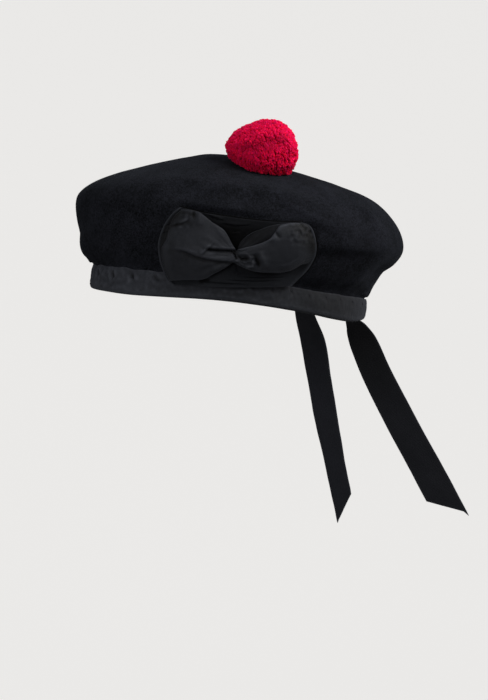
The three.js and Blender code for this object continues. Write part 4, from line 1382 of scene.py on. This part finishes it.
def make_lights(look):
    """The even light of the studio, and four soft lamps."""
    world = bpy.data.worlds.new("studio")
    bpy.context.scene.world = world
    world.use_nodes = True
    sky = world.node_tree.nodes["Background"]
    sky.inputs["Color"].default_value = (0.93, 0.96, 1.0, 1)
    sky.inputs["Strength"].default_value = look.sky
    for name, place, size, watts, colour in (
        ("light_key", (1.02, 0.8, 0.95), 1.1, look.key, (1.0, 1.0, 1.0)),
        ("light_fill", (0.6, -1.45, 0.12), 1.1, look.key * 0.42, (1.0, 1.0, 1.0)),
        ("light_side", (0.5, 1.5, 0.42), 0.9, look.key * 0.36, (1.0, 1.0, 1.0)),
        ("light_above", (0.1, -0.2, 1.6), 1.1, look.key * 0.2, (1.0, 1.0, 1.0)),
    ):
        lamp = bpy.data.lights.new(name, "AREA")
        lamp.shape, lamp.size, lamp.energy, lamp.color = "DISK", size, watts, colour
        holder = put(name, lamp)
        holder.location = place
        holder.rotation_euler = (-Vector(place)).to_track_quat("-Z", "Y").to_euler()
        holder.visible_camera = False


def make_camera(look):
    """The camera, which looks at the hat from the wearer's left and front."""
    azimuth, elevation = (math.radians(a) for a in VIEW_FROM)
    level = math.cos(elevation)
    toward = Vector((math.sin(azimuth) * level, -math.cos(azimuth) * level, math.sin(elevation)))
    aim = Vector((math.cos(azimuth), math.sin(azimuth), 0)) * AIM_ACROSS + Vector((0, 0, AIM_UP))
    lens = bpy.data.cameras.new("camera")
    lens.lens, lens.sensor_width, lens.clip_end = LENS, SENSOR, 40.0
    camera = put("camera", lens)
    camera.location = aim + toward * look.camera_distance
    camera.rotation_euler = (-toward).to_track_quat("-Z", "Y").to_euler()
    bpy.context.scene.camera = camera
    bpy.context.scene.view_settings.view_transform = "Standard"


def make_stage(look):
    make_floor(look)
    make_lights(look)
    make_camera(look)


def frame_low():
    return min(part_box(name)[0].z for name in frame["nodes"])


# ---- What a user can change --------------------------------------------------------------------


def from_screen(red, green, blue):
    """A colour as a screen shows it, 0 to 255, as the shader's linear values."""
    return tuple(c / 12.92 if c <= 0.04045 else ((c + 0.055) / 1.055) ** 2.4
                 for c in (red / 255, green / 255, blue / 255))


def colour_setting(name, description, default):
    return FloatVectorProperty(name=name, description=description, subtype="COLOR", size=3, min=0, max=1,
                               default=default)


class BonnetFelt(bpy.types.PropertyGroup):
    """Finish of the felt crown."""

    felt_dark: colour_setting("Felt, dark", "The felt where its nap lies thin", from_screen(8, 9, 10))
    felt_light: colour_setting("Felt, light", "The felt where its nap stands", from_screen(27, 28, 33))


class BonnetRibbon(bpy.types.PropertyGroup):
    """Finish of the band, the cockade and the tails."""

    band_dark: colour_setting("Band, dark", "The band's ribbon", from_screen(32, 33, 37))
    band_light: colour_setting("Band, light", "The band's ribbon where it catches dust",
                               from_screen(47, 49, 55))
    bow_dark: colour_setting("Cockade, dark", "The cockade's ribbon", from_screen(22, 23, 27))
    bow_light: colour_setting("Cockade, light", "The cockade's ribbon, paler", from_screen(32, 34, 39))
    patch_dark: colour_setting("Patch, dark", "The ribbon under the bow", from_screen(24, 25, 28))
    patch_light: colour_setting("Patch, light", "The ribbon under the bow, paler", from_screen(33, 35, 39))
    tail_dark: colour_setting("Tails, dark", "The tails' ribbon", from_screen(22, 23, 28))
    tail_light: colour_setting("Tails, light", "The tails' ribbon, paler", from_screen(36, 37, 43))
    # This colour serves rubbed wear and the painted highlights on fold crests and hems.
    rubbed_and_highlit: colour_setting("Rubbed edge", "Ribbon where a fold or an edge is rubbed", from_screen(58, 60, 66))


class BonnetPompom(bpy.types.PropertyGroup):
    """Size of the yarn and its reds."""

    strands: IntProperty(name="Cut ends", description="How many cut ends of yarn show", default=6200, min=200)
    strand_width: FloatProperty(name="Yarn width", description="Thickness of one cut end", default=0.0017,
                                unit="LENGTH", min=0.0005)
    red_deep: colour_setting("Deep red", "Yarn in the folds of the ball", from_screen(193, 1, 39))
    red_bright: colour_setting("Bright red", "Yarn at its brightest", from_screen(233, 8, 63))


class BonnetStudio(bpy.types.PropertyGroup):
    """Floor, light and camera."""

    floor_drop: FloatProperty(name="Floor drop", description="From the tails' ends to the floor", default=1.1,
                              unit="LENGTH", min=0.0)
    floor_colour: colour_setting("Floor", "The pale floor and wall", (0.80, 0.79, 0.775))
    floor_glow: FloatProperty(name="Floor glow", description="Light that the floor adds, to stay even",
                              default=0.955, min=0.0)
    floor_return: FloatProperty(name="Floor return", description="Share of the light that it throws back up",
                                default=0.4, min=0.0, max=1.0)
    sky: FloatProperty(name="Sky light", description="Strength of the even light", default=0.28, min=0.0)
    key: FloatProperty(name="Key light", description="Power of the main light", default=32.0,
                       unit="POWER", min=0.0)
    camera_distance: FloatProperty(name="Camera distance", description="From the camera to the hat",
                                   default=2.4, unit="LENGTH", min=0.1)


# ---- Operators, one for each piece or group of like pieces --------------------------------------


class MakePiece:
    """Shared form of the operators: each makes its piece or raises what went wrong."""

    bl_options = {"REGISTER", "UNDO"}


class BONNET_OT_stage(MakePiece, bpy.types.Operator):
    """Set the camera, the soft light and the pale floor"""

    bl_idname = "bonnet.stage"
    bl_label = "Studio"

    def execute(self, context):
        make_stage(context.scene.bonnet_studio)
        return {"FINISHED"}


class BONNET_OT_crown(MakePiece, bpy.types.Operator):
    """Make the felt crown with its folds"""

    bl_idname = "bonnet.crown"
    bl_label = "Crown"

    def execute(self, context):
        make_crown(context.scene.bonnet_felt)
        return {"FINISHED"}


class BONNET_OT_headband(MakePiece, bpy.types.Operator):
    """Make the folded ribbon band and its stitches"""

    bl_idname = "bonnet.headband"
    bl_label = "Headband"

    def execute(self, context):
        make_headband(context.scene.bonnet_ribbon)
        make_stitches(context.scene.bonnet_ribbon)
        return {"FINISHED"}


class BONNET_OT_cockade(MakePiece, bpy.types.Operator):
    """Make the cockade's patch and the bow on it"""

    bl_idname = "bonnet.cockade"
    bl_label = "Cockade"

    def execute(self, context):
        look = context.scene.bonnet_ribbon
        under = ribbon_material("ribbon_of_patch", look.patch_dark, look.patch_light, look.rubbed_and_highlit, 0.75,
                                ribs=2300.0, sheen=0.0, shine=0.05)
        make_patch(under)
        over = ribbon_material("ribbon_of_cockade", look.bow_dark, look.bow_light, look.rubbed_and_highlit, 0.62,
                               ribs=2300.0)
        make_bow(over)
        return {"FINISHED"}


class BONNET_OT_pompom(MakePiece, bpy.types.Operator):
    """Make the yarn pompom on the crown"""

    bl_idname = "bonnet.pompom"
    bl_label = "Pompom"

    def execute(self, context):
        if "crown_felt" not in bpy.data.objects:
            raise RuntimeError("make the crown before the pompom that sits on it")
        make_pompom(context.scene.bonnet_pompom)
        return {"FINISHED"}


class BONNET_OT_tails(MakePiece, bpy.types.Operator):
    """Make the two ribbon tails"""

    bl_idname = "bonnet.tails"
    bl_label = "Tails"

    def execute(self, context):
        look = context.scene.bonnet_ribbon
        material = ribbon_material("ribbon_of_tails", look.tail_dark, look.tail_light, look.rubbed_and_highlit, 0.68,
                                   sheen=0.05)
        for name, tail in TAILS.items():
            make_tail(name, tail, material)
        return {"FINISHED"}


STEPS = (BONNET_OT_stage, BONNET_OT_crown, BONNET_OT_headband, BONNET_OT_cockade, BONNET_OT_pompom,
         BONNET_OT_tails)


class BONNET_PT_pieces(bpy.types.Panel):
    """The hat's pieces and their settings"""

    bl_label = "Bonnet"
    bl_idname = "BONNET_PT_pieces"
    bl_space_type = "VIEW_3D"
    bl_region_type = "UI"
    bl_category = "Bonnet"

    def draw(self, context):
        for step in STEPS:
            self.layout.operator(step.bl_idname)
        for group in SETTINGS:
            box = self.layout.box()
            settings = getattr(context.scene, group)
            for key in settings.bl_rna.properties.keys():
                if key not in ("rna_type", "name"):
                    box.prop(settings, key)


SETTINGS = {"bonnet_felt": BonnetFelt, "bonnet_ribbon": BonnetRibbon, "bonnet_pompom": BonnetPompom,
            "bonnet_studio": BonnetStudio}
CLASSES = (*SETTINGS.values(), *STEPS, BONNET_PT_pieces)


def register():
    for made in CLASSES:
        bpy.utils.register_class(made)
    for name, group in SETTINGS.items():
        setattr(bpy.types.Scene, name, PointerProperty(type=group))


def unregister():
    for name in SETTINGS:
        delattr(bpy.types.Scene, name)
    for made in reversed(CLASSES):
        bpy.utils.unregister_class(made)


def main():
    register()
    bpy.ops.bonnet.stage()
    bpy.ops.bonnet.crown()
    bpy.ops.bonnet.headband()
    bpy.ops.bonnet.cockade()
    bpy.ops.bonnet.pompom()
    bpy.ops.bonnet.tails()


if __name__ == "__main__":
    main()
